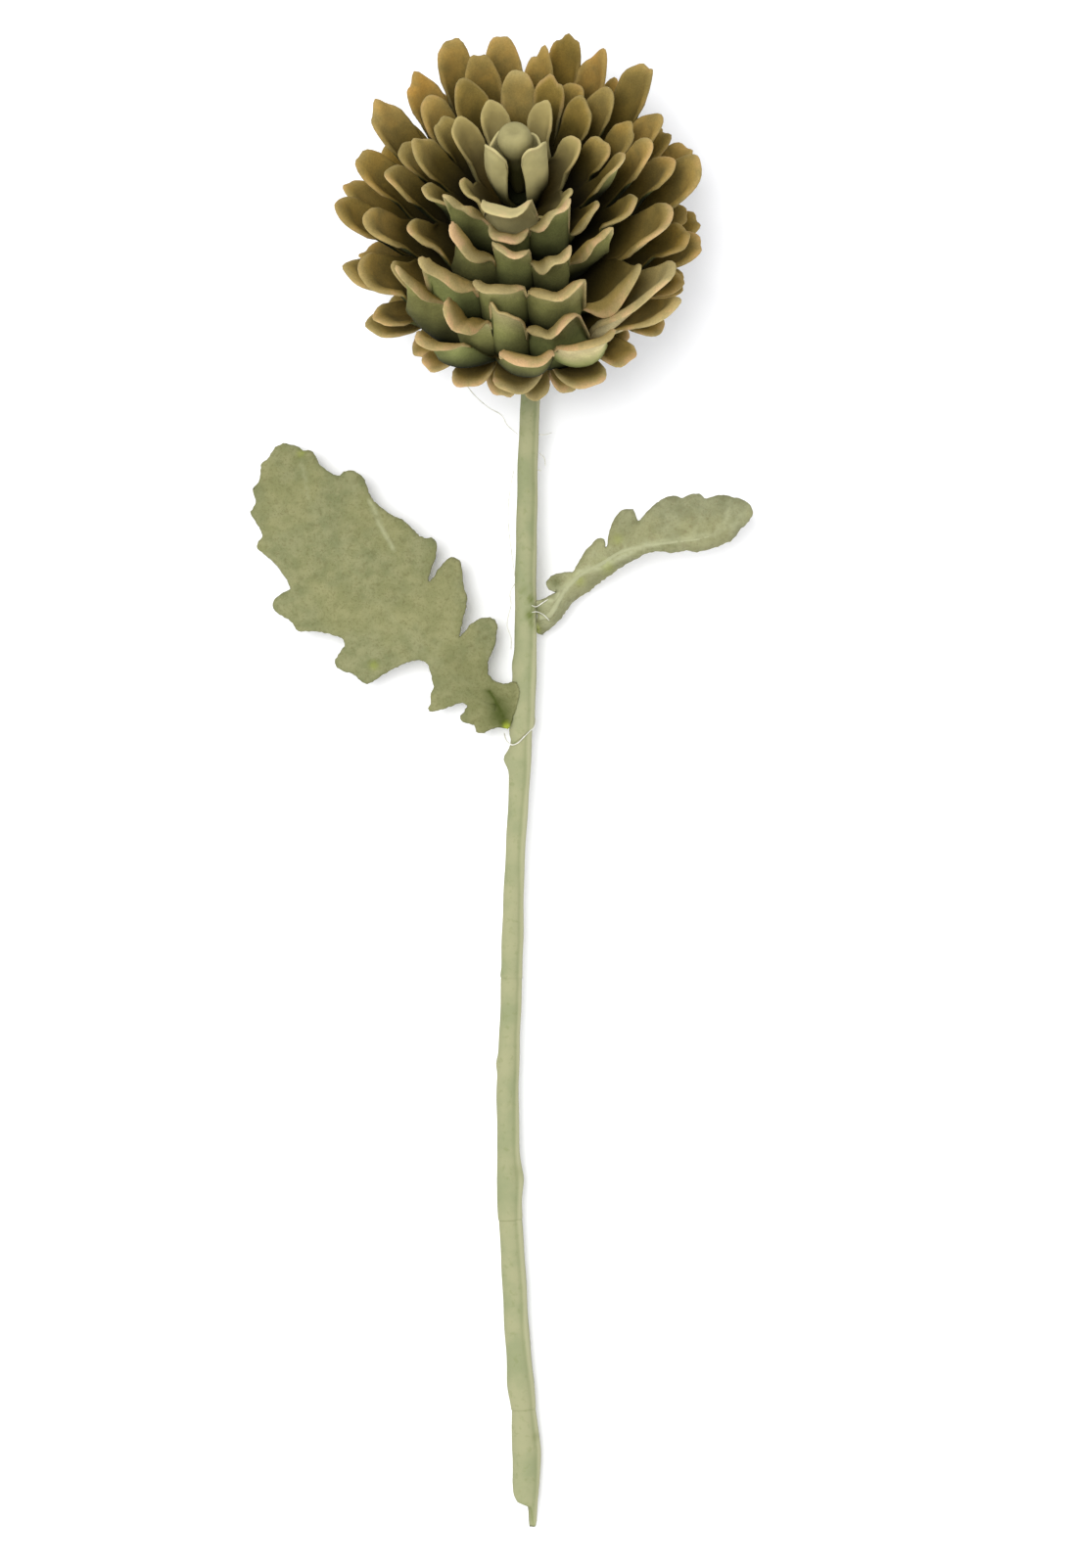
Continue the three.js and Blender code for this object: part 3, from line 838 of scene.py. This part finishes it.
# The seam runs along the right of every wrap, a pale ridge with a groove to its left, which the foam darkens
# as painted shade. Angles are from the top towards +X, and widths are along the surface.
SEAM_ANGLE = math.radians(62)
SEAM_WIDTH = 1.5
SEAM_HEIGHT = 0.3
GROOVE_OFFSET = 2.3
GROOVE_WIDTH = 0.6
GROOVE_DEPTH = 0.06

# The wraps' lower cuts: angle from the top, and how far up the stem the cut lies there. The foot's also runs
# out in a torn tail on its right.
NECK_CUT = [(-180, 2), (-90, 2.5), (-45, -2.2), (0, 0.5), (45, 4), (90, 6), (180, 2)]
FOOT_CUT = [(-180, 0), (-90, 3.5), (-50, 0), (0, -1), (38, -2), (48, -7), (64, -10.5), (80, -7), (100, -3),
            (180, 0)]
STRAIGHT_CUT = [(-180, 0), (180, 0)]

# Each wrap: where it starts and ends along the stem, its lower cut, the radius at points along it, and bulges
# as (distance, angle from the top in degrees, length, width, height).
WRAPS = {
    "foot": (
        0, 41, FOOT_CUT, [(0, 4.6), (8, 5.3), (22, 5.7), (32, 5.3), (38, 4.85), (41, 4.3)],
        [(3, 60, 9, 2.5, 0.7), (20, 85, 12, 2.0, 0.5)]),
    "low": (
        38, 120, STRAIGHT_CUT,
        [(38, 5.0), (50, 5.4), (63, 5.1), (87, 5.0), (108, 4.9), (117, 4.75), (120, 4.3)],
        [(48, -80, 7, 3.0, 0.5)]),
    "middle": (
        117, 220, STRAIGHT_CUT,
        [(117, 5.0), (134, 5.2), (145, 4.6), (170, 4.5), (194, 4.2), (217, 4.25), (220, 3.9)],
        [(134, 80, 6, 2.4, 0.9), (182, -88, 3, 1.5, 0.8), (215, 30, 2, 3.0, 0.3)]),
    "high": (
        217, 325, STRAIGHT_CUT,
        [(217, 4.3), (234, 4.4), (258, 4.0), (282, 4.1), (306, 4.4), (318, 4.4), (325, 4.2)],
        [(219, -20, 2, 3.0, 0.35), (219, -85, 2, 2.0, 0.4), (308, -88, 3.6, 3.0, 2.6)]),
    "neck": (
        316, 504.8, NECK_CUT,
        [(316, 4.9), (322, 5.2), (336, 5.1), (347, 4.65), (378, 4.4), (418, 4.1), (456, 3.9), (504.8, 4.4)],
        [(347, -85, 4, 2.0, 0.9), (452, 20, 5, 2.0, 0.3)]),
}

# Rubbed green patches on the stem, as photo positions, the radius in mm, and the strength.
STEM_STAINS = [
    ((542, 613), 1.5, 0.8), ((541, 629), 1.8, 0.95), ((545, 621), 1.0, 0.7), ((543, 638), 1.2, 0.7),
    ((535, 603), 1.6, 0.35), ((548, 641), 1.8, 0.4), ((523, 676), 1.2, 0.35), ((533, 440), 2.5, 0.15),
    ((531, 1198), 3.0, 0.2), ((547, 1470), 1.6, 0.35)]


def spot_amount(points, spot_marks, height):
    """How strongly the spots mark each point, seen from above."""
    amount = np.zeros(len(points))
    for pixel, radius, strength in spot_marks:
        away = norm(points[:, :2] - from_photo(pixel, height), axis=1)
        amount = np.maximum(amount, strength * bell(away / radius))
    return amount


def around(angle, centre):
    """Signed turn from centre to angle, between -pi and pi."""
    return (angle - centre + math.pi) % (2 * math.pi) - math.pi


def wrap_piece(key, start, end, lower_cut, stations, bulges):
    count = int((end - start) / WRAP_RING) + 1
    share = np.concatenate([[0, 0.15, 0.45], np.arange(1, count), [count - 0.45, count - 0.15, count]])
    share = share / count
    angle = 2 * math.pi * np.arange(WRAP_SIDES) / WRAP_SIDES - math.pi
    low = float(start) + np.interp(np.degrees(angle), *zip(*lower_cut))
    distance = low + share[:, None] * (float(end) - low)
    radius = np.interp(distance, *zip(*stations))
    phases = [rng.uniform(0, 6.28) for _ in range(5)]
    radius = radius + WRAP_WAVE * np.sin(distance / 9 + phases[0]) * np.cos(angle + phases[1])
    radius = radius + WRAP_RIPPLE * np.sin(distance / 3.7 + phases[2] + 2 * np.sin(angle + phases[3]))
    for place, turn, length, width, height in bulges:
        sideways = around(angle, math.radians(turn)) * radius / width
        radius = radius + height * bell((distance - place) / length) * bell(sideways)
    drift = 0.14 * np.sin(distance / 31 + phases[4]) + 0.05 * np.sin(distance / 8 + phases[0])
    from_seam = around(angle, SEAM_ANGLE + drift) * radius
    seam = bell((from_seam / SEAM_WIDTH) ** 2)
    groove = bell((from_seam + GROOVE_OFFSET) / GROOVE_WIDTH)
    radius = radius + SEAM_HEIGHT * seam - GROOVE_DEPTH * groove
    to_end = np.minimum(distance - low, end - distance)
    rounded = 1 - np.sqrt(np.clip(1 - (1 - to_end / END_ROUND) ** 2, 0, 1))
    radius = radius - END_ROUND * rounded * (to_end < END_ROUND)

    right, up = cross_axes(STEM.slope(distance))
    turn = np.broadcast_to(angle, distance.shape)[..., None]
    spoke = right * np.sin(turn) + up * np.cos(turn)
    base = STEM.at(distance)
    rows = np.concatenate([base + spoke * radius[..., None], (base + spoke * WRAP_BORE)[::-1]])
    points = rows.reshape(-1, 3)
    cut = CUT_DARK * bell(to_end / CUT_WIDTH)
    outside = {"seam": seam, "groove": groove, "stain_and_shade": cut}
    layers = {k: np.concatenate([v, 0 * v]).ravel() for k, v in outside.items()}
    layers["stain_and_shade"] = np.maximum(layers["stain_and_shade"], spot_amount(points, STEM_STAINS, STEM_HEIGHT))
    faces = [tuple(k % len(points) for k in face) for face in ring_faces(0, len(rows) + 1, WRAP_SIDES)]
    name = "stem_wrap_" + key
    new_piece(name + "_foam", build_mesh(points, faces, layers), STEM_FOAM, "stem_foam", name)


for key, wrap in WRAPS.items():
    wrap_piece(key, *wrap)

# Leaves
LEAF_THICKNESS = 1.3
LEAF_GRID = 1.5
LEAF_ROW = 0.87       # rows of a grid of even triangles, as a share of its step
LEAF_JITTER = 0.2
LEAF_MARGIN = 0.9     # how far the grid stays from the edge
EDGE_STEP = 1.1
EDGE_TEETH = 0.22
VEIN_HEIGHT = 0.45
CREASE_DEPTH = 0.8
RIPPLE_HEIGHT = 0.8
RIPPLE_LENGTH = 6.5
RIPPLE_LENGTH_FINE = 3.1
RIPPLE_START = 10     # full this far from the rib
LEAF_LIFT = 0.75      # over the neck wrap
NECK_RADIUS = 4.9
FAR_BELOW = -99
RIB_SHORT = 6.0
RIB_STEP = 1.2
RIB_RAISE = 0.25
RIB_SIDES = 12
RIB_WIDE = 1.3


# The outlines were read on enlargements of the photo, with their corners and scales. rib is in mm, and the
# rest are photo positions at the leaf's height. falls are how far a leaf drops to its left and to its right,
# and how far from the rib. veins and creases are lines with their strength and width, and the darker spots
# and the flushes are spots with their radius and strength. The creases are cut in and painted dark, and the
# darker spots along the left leaf's fold by the stem are dark too: both are painted shade. The rib's ridge
# begins at rib_start.
LEFT_LEAF = SimpleNamespace(
    side="left", material=LEFT_LEAF_FOAM, height=17, falls=((4, 34), (3, 36)),
    rib_start=12, rib_high=0.62, rib_pale=0.03,
    corner=(230, 430), zoom=4.612,
    outline=[
        (270, 105), (330, 115), (360, 140), (405, 140), (440, 210), (480, 240), (515, 262), (540, 262),
        (560, 240), (595, 235), (640, 260), (662, 300), (672, 345), (700, 385), (740, 420), (790, 455),
        (830, 465), (870, 505), (910, 545), (945, 560), (975, 552), (992, 580), (985, 650), (965, 700),
        (950, 740), (955, 770), (985, 740), (1010, 700), (1040, 660), (1075, 643), (1105, 665), (1115, 740),
        (1120, 800), (1138, 830), (1130, 880), (1115, 930), (1105, 985), (1095, 1035), (1120, 1010),
        (1150, 970), (1200, 935), (1250, 928), (1275, 945), (1278, 985), (1268, 1010), (1272, 1040),
        (1250, 1090), (1232, 1130), (1232, 1190), (1260, 1230), (1310, 1245), (1370, 1232), (1384, 1280),
        (1370, 1345), (1335, 1450), (1300, 1440), (1250, 1445), (1215, 1470), (1185, 1465), (1180, 1430),
        (1140, 1420), (1105, 1405), (1130, 1370), (1150, 1340), (1120, 1320), (1060, 1340), (1000, 1360),
        (970, 1370), (958, 1355), (975, 1330), (972, 1280), (990, 1250), (975, 1200), (965, 1150),
        (945, 1128), (900, 1122), (850, 1135), (790, 1165), (730, 1200), (690, 1225), (660, 1238),
        (635, 1215), (600, 1185), (560, 1175), (525, 1155), (518, 1135), (540, 1100), (570, 1060),
        (568, 1040), (555, 1020), (510, 1005), (450, 990), (400, 985), (345, 992), (330, 960), (300, 930),
        (250, 905), (225, 870), (235, 840), (270, 815), (315, 795), (300, 755), (270, 710), (240, 670),
        (190, 630), (150, 595), (155, 575), (185, 545), (170, 510), (140, 460), (115, 430), (145, 400),
        (145, 370), (140, 345), (125, 320), (155, 295), (165, 270), (170, 195), (200, 180), (235, 120)],
    rib=Line([
        (9, 34, 18.8), (3.1, 36, 17.2), (-4, 36.4, 16.2), (-12, 41.5, 16.6), (-24.1, 52.2, 18),
        (-40.2, 67.6, 19.5), (-56.7, 85.7, 20), (-71.2, 106.6, 19), (-83.3, 127.2, 16),
        (-90.6, 144.5, 11.5)]),
    veins=[
        ([(378, 512), (388, 536), (402, 562)], 0.5, 0.8), ([(478, 700), (440, 672), (395, 625)], 0.06, 1.2),
        ([(440, 672), (462, 640), (470, 590)], 0.05, 0.9), ([(412, 645), (385, 668), (355, 680)], 0.04, 0.9),
        ([(395, 625), (420, 590), (436, 560)], 0.05, 0.9), ([(360, 590), (320, 606), (285, 616)], 0.04, 0.9),
        ([(345, 565), (365, 520), (360, 490)], 0.05, 0.9), ([(395, 625), (345, 560), (307, 500)], 0.05, 1.2),
        ([(325, 530), (295, 545), (266, 556)], 0.04, 0.9), ([(307, 470), (312, 490), (315, 510)], 0.22, 0.7)],
    creases=[
        ([(499, 706), (506, 716), (511, 726), (515, 735), (517, 741)], 0.95, 1.5),
        ([(480, 686), (488, 698), (497, 712), (505, 724)], 0.35, 0.9),
        ([(466, 670), (474, 684), (484, 694)], 0.3, 0.8), ([(452, 668), (466, 672), (480, 674)], 0.2, 0.9)],
    spot_marks=[
        ((503, 710), 4.6, 0.6), ((508, 720), 6.0, 0.8), ((511, 730), 6.5, 0.85), ((515, 738), 4.0, 0.95),
        ((492, 705), 15.0, 0.28), ((470, 682), 8.0, 0.2), ((502, 738), 5.0, 0.35), ((488, 702), 1.8, 0.25),
        ((482, 712), 1.4, 0.3), ((307, 468), 1.6, 0.25), ((383, 678), 1.6, 0.3), ((525, 712), 1.0, 0.25)],
    flushes=[((518, 742), 1.3, 0.9), ((307, 463), 1.5, 0.3), ((382, 680), 1.6, 0.35)])
RIGHT_LEAF = SimpleNamespace(
    side="right", material=RIGHT_LEAF_FOAM, height=28, falls=((7, 18), (9, 5)),
    rib_start=4, rib_high=1.0, rib_pale=0.5,
    corner=(500, 480), zoom=5.227,
    outline=[
        (252, 690), (262, 770), (250, 850), (272, 868), (330, 830), (370, 790), (450, 680), (520, 640),
        (600, 580), (700, 510), (830, 445), (900, 430), (980, 440), (1040, 425), (1085, 434), (1130, 430),
        (1200, 410), (1290, 370), (1340, 310), (1390, 260), (1405, 225), (1385, 180), (1340, 155),
        (1290, 150), (1270, 135), (1210, 140), (1150, 165), (1130, 135), (1080, 130), (1020, 160),
        (1000, 145), (960, 142), (900, 175), (850, 220), (800, 285), (775, 270), (770, 215), (710, 212),
        (670, 260), (640, 350), (630, 420), (615, 430), (612, 375), (580, 370), (520, 430), (470, 510),
        (455, 550), (400, 550), (340, 560), (300, 600), (330, 640), (370, 645), (330, 670), (260, 700)],
    rib=Line([
        (12, 73, 20.3), (16.0, 73.4, 18.6), (19.5, 73.9, 18.6), (26.2, 84.3, 22), (32.4, 90.5, 25.5),
        (41.5, 95, 29.5), (49, 99.5, 32), (56.7, 101.5, 34), (70.5, 103.4, 35.5), (81.9, 104.9, 34.5),
        (91.9, 108.7, 32), (103, 116.4, 27)]),
    veins=[
        ([(547, 616), (565, 612), (580, 598), (592, 584), (612, 579), (634, 569), (652, 560), (668, 556)],
         0.7, 0.75),
        ([(668, 556), (700, 551), (728, 547), (748, 536)], 0.35, 0.8),
        ([(640, 564), (632, 545), (636, 522)], 0.15, 0.7), ([(600, 580), (606, 566), (616, 552)], 0.2, 0.6),
        ([(690, 552), (680, 530), (676, 510)], 0.18, 0.7), ([(728, 547), (742, 530), (745, 512)], 0.35, 0.8),
        ([(705, 550), (715, 530), (716, 508)], 0.15, 0.7), ([(745, 545), (755, 530), (763, 518)], 0.3, 0.8),
        ([(563, 604), (576, 598), (590, 588)], 0.35, 0.6)],
    creases=[([(600, 595), (630, 577), (660, 562), (690, 557)], 0.25, 0.8)],
    spot_marks=[
        ((568, 594), 2.6, 0.5), ((541, 616), 2.0, 0.85), ((543, 632), 2.6, 0.9), ((549, 622), 2.0, 0.6),
        ((556, 612), 1.4, 0.3), ((651, 534), 1.8, 0.25), ((638, 545), 4.0, 0.18), ((740, 512), 2.5, 0.2)],
    flushes=[((548, 642), 1.6, 0.5), ((592, 592), 2.0, 0.25), ((620, 578), 2.5, 0.2), ((631, 552), 2.0, 0.2)])


def along_rib(rib, places):
    """Distance along the rib and signed offset to its left of each place, seen from above."""
    nearest, away = rib.nearest(places)
    way = rib.slope(rib.reach[nearest])[:, :2]
    to = places - rib.points[nearest, :2]
    side = way[:, 0] * to[:, 1] - way[:, 1] * to[:, 0]
    return rib.reach[nearest], np.where(side > 0, 1, -1) * away


def near_polyline(places, line):
    """Distance from each place to a line of points."""
    best = np.full(len(places), 1e9)
    for a, b in zip(line, line[1:]):
        way = b - a
        t = np.clip(((places - a) @ way) / (way @ way), 0, 1)[:, None]
        best = np.minimum(best, norm(places - (a + t * way), axis=1))
    return best


def line_marks(places, lines, height):
    """How strongly lines of photo positions, each with its strength and width, mark each place."""
    amount = np.zeros(len(places))
    for line, strength, width in lines:
        away = near_polyline(places, from_photo(line, height))
        amount = np.maximum(amount, strength * bell(away / width))
    return amount


def lifted(places, heights):
    """The heights, at least as high as the neck wrap's surface asks for."""
    nearest, away = STEM.nearest(places)
    top = STEM.points[nearest, 2] + np.sqrt(np.maximum(NECK_RADIUS**2 - away**2, 0))
    return np.maximum(heights, np.where(away < NECK_RADIUS, top, FAR_BELOW) + LEAF_LIFT)


def leaf_edge(leaf):
    """Points along the outline, in mm, a little ragged."""
    pixels = [(leaf.corner[0] + x / leaf.zoom, leaf.corner[1] + y / leaf.zoom) for x, y in leaf.outline]
    ring = from_photo(pixels, leaf.height)
    ring = np.vstack([ring, ring[:1]])
    reach = np.concatenate([[0.0], np.cumsum(norm(np.diff(ring, axis=0), axis=1))])
    steps = int(reach[-1] / EDGE_STEP)
    asked = np.arange(steps) * reach[-1] / steps
    points = np.column_stack([np.interp(asked, reach, ring[:, k]) for k in range(2)])
    rounded = points + 0.25 * (np.roll(points, 1, axis=0) + np.roll(points, -1, axis=0) - 2 * points)
    return rounded + [[rng.uniform(-EDGE_TEETH, EDGE_TEETH) for _ in range(2)] for _ in rounded]


def leaf_plan(leaf):
    """The leaf seen from above, as places and the triangles between them."""
    edge_points = leaf_edge(leaf)
    low, high = edge_points.min(axis=0), edge_points.max(axis=0)
    grid = []
    for j, y in enumerate(np.arange(low[1], high[1], LEAF_GRID * LEAF_ROW)):
        for x in np.arange(low[0], high[0], LEAF_GRID):
            x += LEAF_GRID * (0.5 * (j % 2) + rng.uniform(-LEAF_JITTER, LEAF_JITTER))
            grid.append((x, y + rng.uniform(-LEAF_JITTER, LEAF_JITTER)))
    grid = np.array(grid)
    grid = grid[near_polyline(grid, np.vstack([edge_points, edge_points[:1]])) > LEAF_MARGIN]
    places = [Vector(p) for p in [*edge_points, *grid]]
    flat = delaunay_2d_cdt(places, [], [list(range(len(edge_points)))], 1, 1e-4)
    used = sorted({k for face in flat[2] for k in face})
    renumber = {k: i for i, k in enumerate(used)}
    return np.array([tuple(v) for v in flat[0]])[used], [tuple(renumber[k] for k in f) for f in flat[2]]


def leaf_piece(leaf):
    places, faces = leaf_plan(leaf)
    distance, offset = along_rib(leaf.rib, places)
    (left_fall, left_width), (right_fall, right_width) = leaf.falls
    left, right = left_fall * (offset / left_width) ** 2, right_fall * (offset / right_width) ** 2
    ripple = np.sin(distance / RIPPLE_LENGTH + np.sign(offset)) + 0.6 * np.sin(distance / RIPPLE_LENGTH_FINE)
    ripple = smooth(np.abs(offset) / RIPPLE_START) * ripple
    z = leaf.rib.at(distance)[:, 2] - np.where(offset > 0, left, right) + RIPPLE_HEIGHT * ripple
    vein = line_marks(places, leaf.veins, leaf.height)
    crease = line_marks(places, leaf.creases, leaf.height)
    z = lifted(places, z + VEIN_HEIGHT * vein - CREASE_DEPTH * crease)
    # Painted shade: the crease lines, and the spots along the left leaf's fold by the stem, are painted dark.
    stain_and_shade = np.maximum(crease, spot_amount(places, leaf.spot_marks, leaf.height))
    layers = {"vein": vein, "stain_and_shade": stain_and_shade, "flush": spot_amount(places, leaf.flushes, leaf.height)}
    mesh = thick_sheet(np.column_stack([places, z]), faces, LEAF_THICKNESS, layers)
    name = "leaf_" + leaf.side
    new_piece(name + "_foam", mesh, leaf.material, "leaf_foam", name + "_blade")


def rib_piece(leaf):
    """The rib's ridge on the blade, thinner towards the tip."""
    rib = leaf.rib
    distance = np.arange(leaf.rib_start, rib.length - RIB_SHORT, RIB_STEP)
    base = rib.at(distance)
    base[:, 2] = lifted(base[:, :2], base[:, 2]) + RIB_RAISE
    taper = (1 - 0.75 * distance / rib.length) * np.array([rng.uniform(0.85, 1.15) for _ in distance])
    points, faces = [], []
    add_tube(points, faces, base, rib.slope(distance), RIB_WIDE * taper, leaf.rib_high * taper, RIB_SIDES)
    points = np.array(points)
    stain_and_shade = spot_amount(points, leaf.spot_marks, leaf.height)
    layers = {"vein": np.full(len(points), leaf.rib_pale), "stain_and_shade": stain_and_shade}
    name = "leaf_" + leaf.side + "_rib"
    new_piece(name + "_foam", build_mesh(points, faces, layers), leaf.material, "leaf_rib", name)


leaf_piece(LEFT_LEAF)
leaf_piece(RIGHT_LEAF)
rib_piece(LEFT_LEAF)
rib_piece(RIGHT_LEAF)

# Glue threads: photo positions with a height in mm for each point, and the thread's radius.
THREADS = [
    ([(466, 378, 40), (484, 403, 34), (500, 417, 29), (512, 424, 26), (518, 434, 23), (529, 444, 20)], 0.2),
    ([(525, 480, 18), (521, 500, 17), (519, 530, 16), (522, 560, 16), (526, 590, 17)], 0.17),
    ([(526, 596, 17), (521, 606, 17), (522, 618, 17), (519, 630, 16), (518, 640, 16), (522, 652, 16),
      (522, 664, 17)], 0.18),
    ([(549, 444, 17), (557, 444, 17), (564, 442, 17)], 0.18),
    ([(551, 463, 17), (556, 468, 18), (557, 476, 18)], 0.2),
    ([(549, 480, 17), (553, 481, 18)], 0.2),
    ([(541, 617, 19), (547, 620, 20), (554, 616, 20.5), (560, 612, 20.5)], 0.17),
    ([(542, 626, 19), (548, 625, 20), (555, 628, 20.5), (561, 634, 20)], 0.17),
    ([(515, 749, 13), (517, 756, 15), (523, 761, 18.2), (529, 759, 19.2), (535, 753, 19.2), (541, 747, 18.2),
      (546, 741, 16), (547, 733, 14.5)], 0.26),
    ([(524, 700, 18), (527, 706, 19.2), (528, 713, 19.5), (525, 722, 19.2)], 0.2),
]
THREAD_SIDES = 8
THREAD_STEP = 0.9


def thread_mesh():
    points, faces = [], []
    for row, radius in THREADS:
        line = Line([(*from_photo(p[:2], p[2]), p[2]) for p in row])
        distance = np.linspace(0, line.length, int(line.length / THREAD_STEP) + 3)
        wide = radius * np.array([rng.uniform(0.75, 1.25) for _ in distance])
        wide[[0, -1]] *= 0.5
        add_tube(points, faces, line.at(distance), line.slope(distance), wide, wide, THREAD_SIDES)
    return build_mesh(points, faces, {})


new_piece("glue_threads", thread_mesh(), GLUE, None)


def dress_node(name, material):
    """Gives a CAD node that stays its procedural material."""
    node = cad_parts[name]
    node.data.materials.clear()
    node.data.materials.append(material)


# The core has no along or face, so the bract foam paints it near black, as painted shade.
dress_node("head_core", BRACT_FOAM)
dress_node("stem_wire", WIRE_PAINT)

# Floor, light and camera
FLOOR_SIZE = 6.0


def floor_material():
    s = Shader("floor_paper")
    return s.finish((0.96, 0.96, 0.97), 0.9)


def add_floor():
    reach = FLOOR_SIZE / 2
    mesh = bpy.data.meshes.new("floor")
    corners = [(-reach, -reach, 0), (reach, -reach, 0), (reach, reach, 0), (-reach, reach, 0)]
    mesh.from_pydata(corners, [], [(0, 1, 2, 3)])
    mesh.materials.append(floor_material())
    floor = add_object("floor", mesh)


def area_light(name, place, target, size, power):
    light = bpy.data.lights.new(name, "AREA")
    light.shape = "DISK"
    light.size = size
    light.energy = power
    holder = add_object(name, light)
    holder.location = place
    holder.rotation_euler = (Vector(target) - Vector(place)).to_track_quat("-Z", "Y").to_euler()


def add_world(colour, strength):
    world = bpy.data.worlds.new("studio")
    world.use_nodes = True
    background = world.node_tree.nodes["Background"]
    background.inputs["Color"].default_value = (*colour, 1.0)
    background.inputs["Strength"].default_value = strength
    bpy.context.scene.world = world


def add_camera():
    camera = add_object("camera", bpy.data.cameras.new("camera"))
    camera.data.lens = LENS
    camera.data.sensor_width = SENSOR
    camera.location = Vector(CAMERA_PLACE) * MM
    bpy.context.scene.camera = camera


add_floor()
area_light("key", place=(-0.45, 0.25, 2.2), target=(0, 0.05, 0), size=1.1, power=33.0)
area_light("front", place=(-0.3, -1.5, 1.5), target=(0, 0.15, 0.05), size=1.6, power=9.0)
add_world(colour=(0.97, 0.975, 1.0), strength=0.93)
add_camera()
bpy.context.scene.view_settings.view_transform = "Standard"
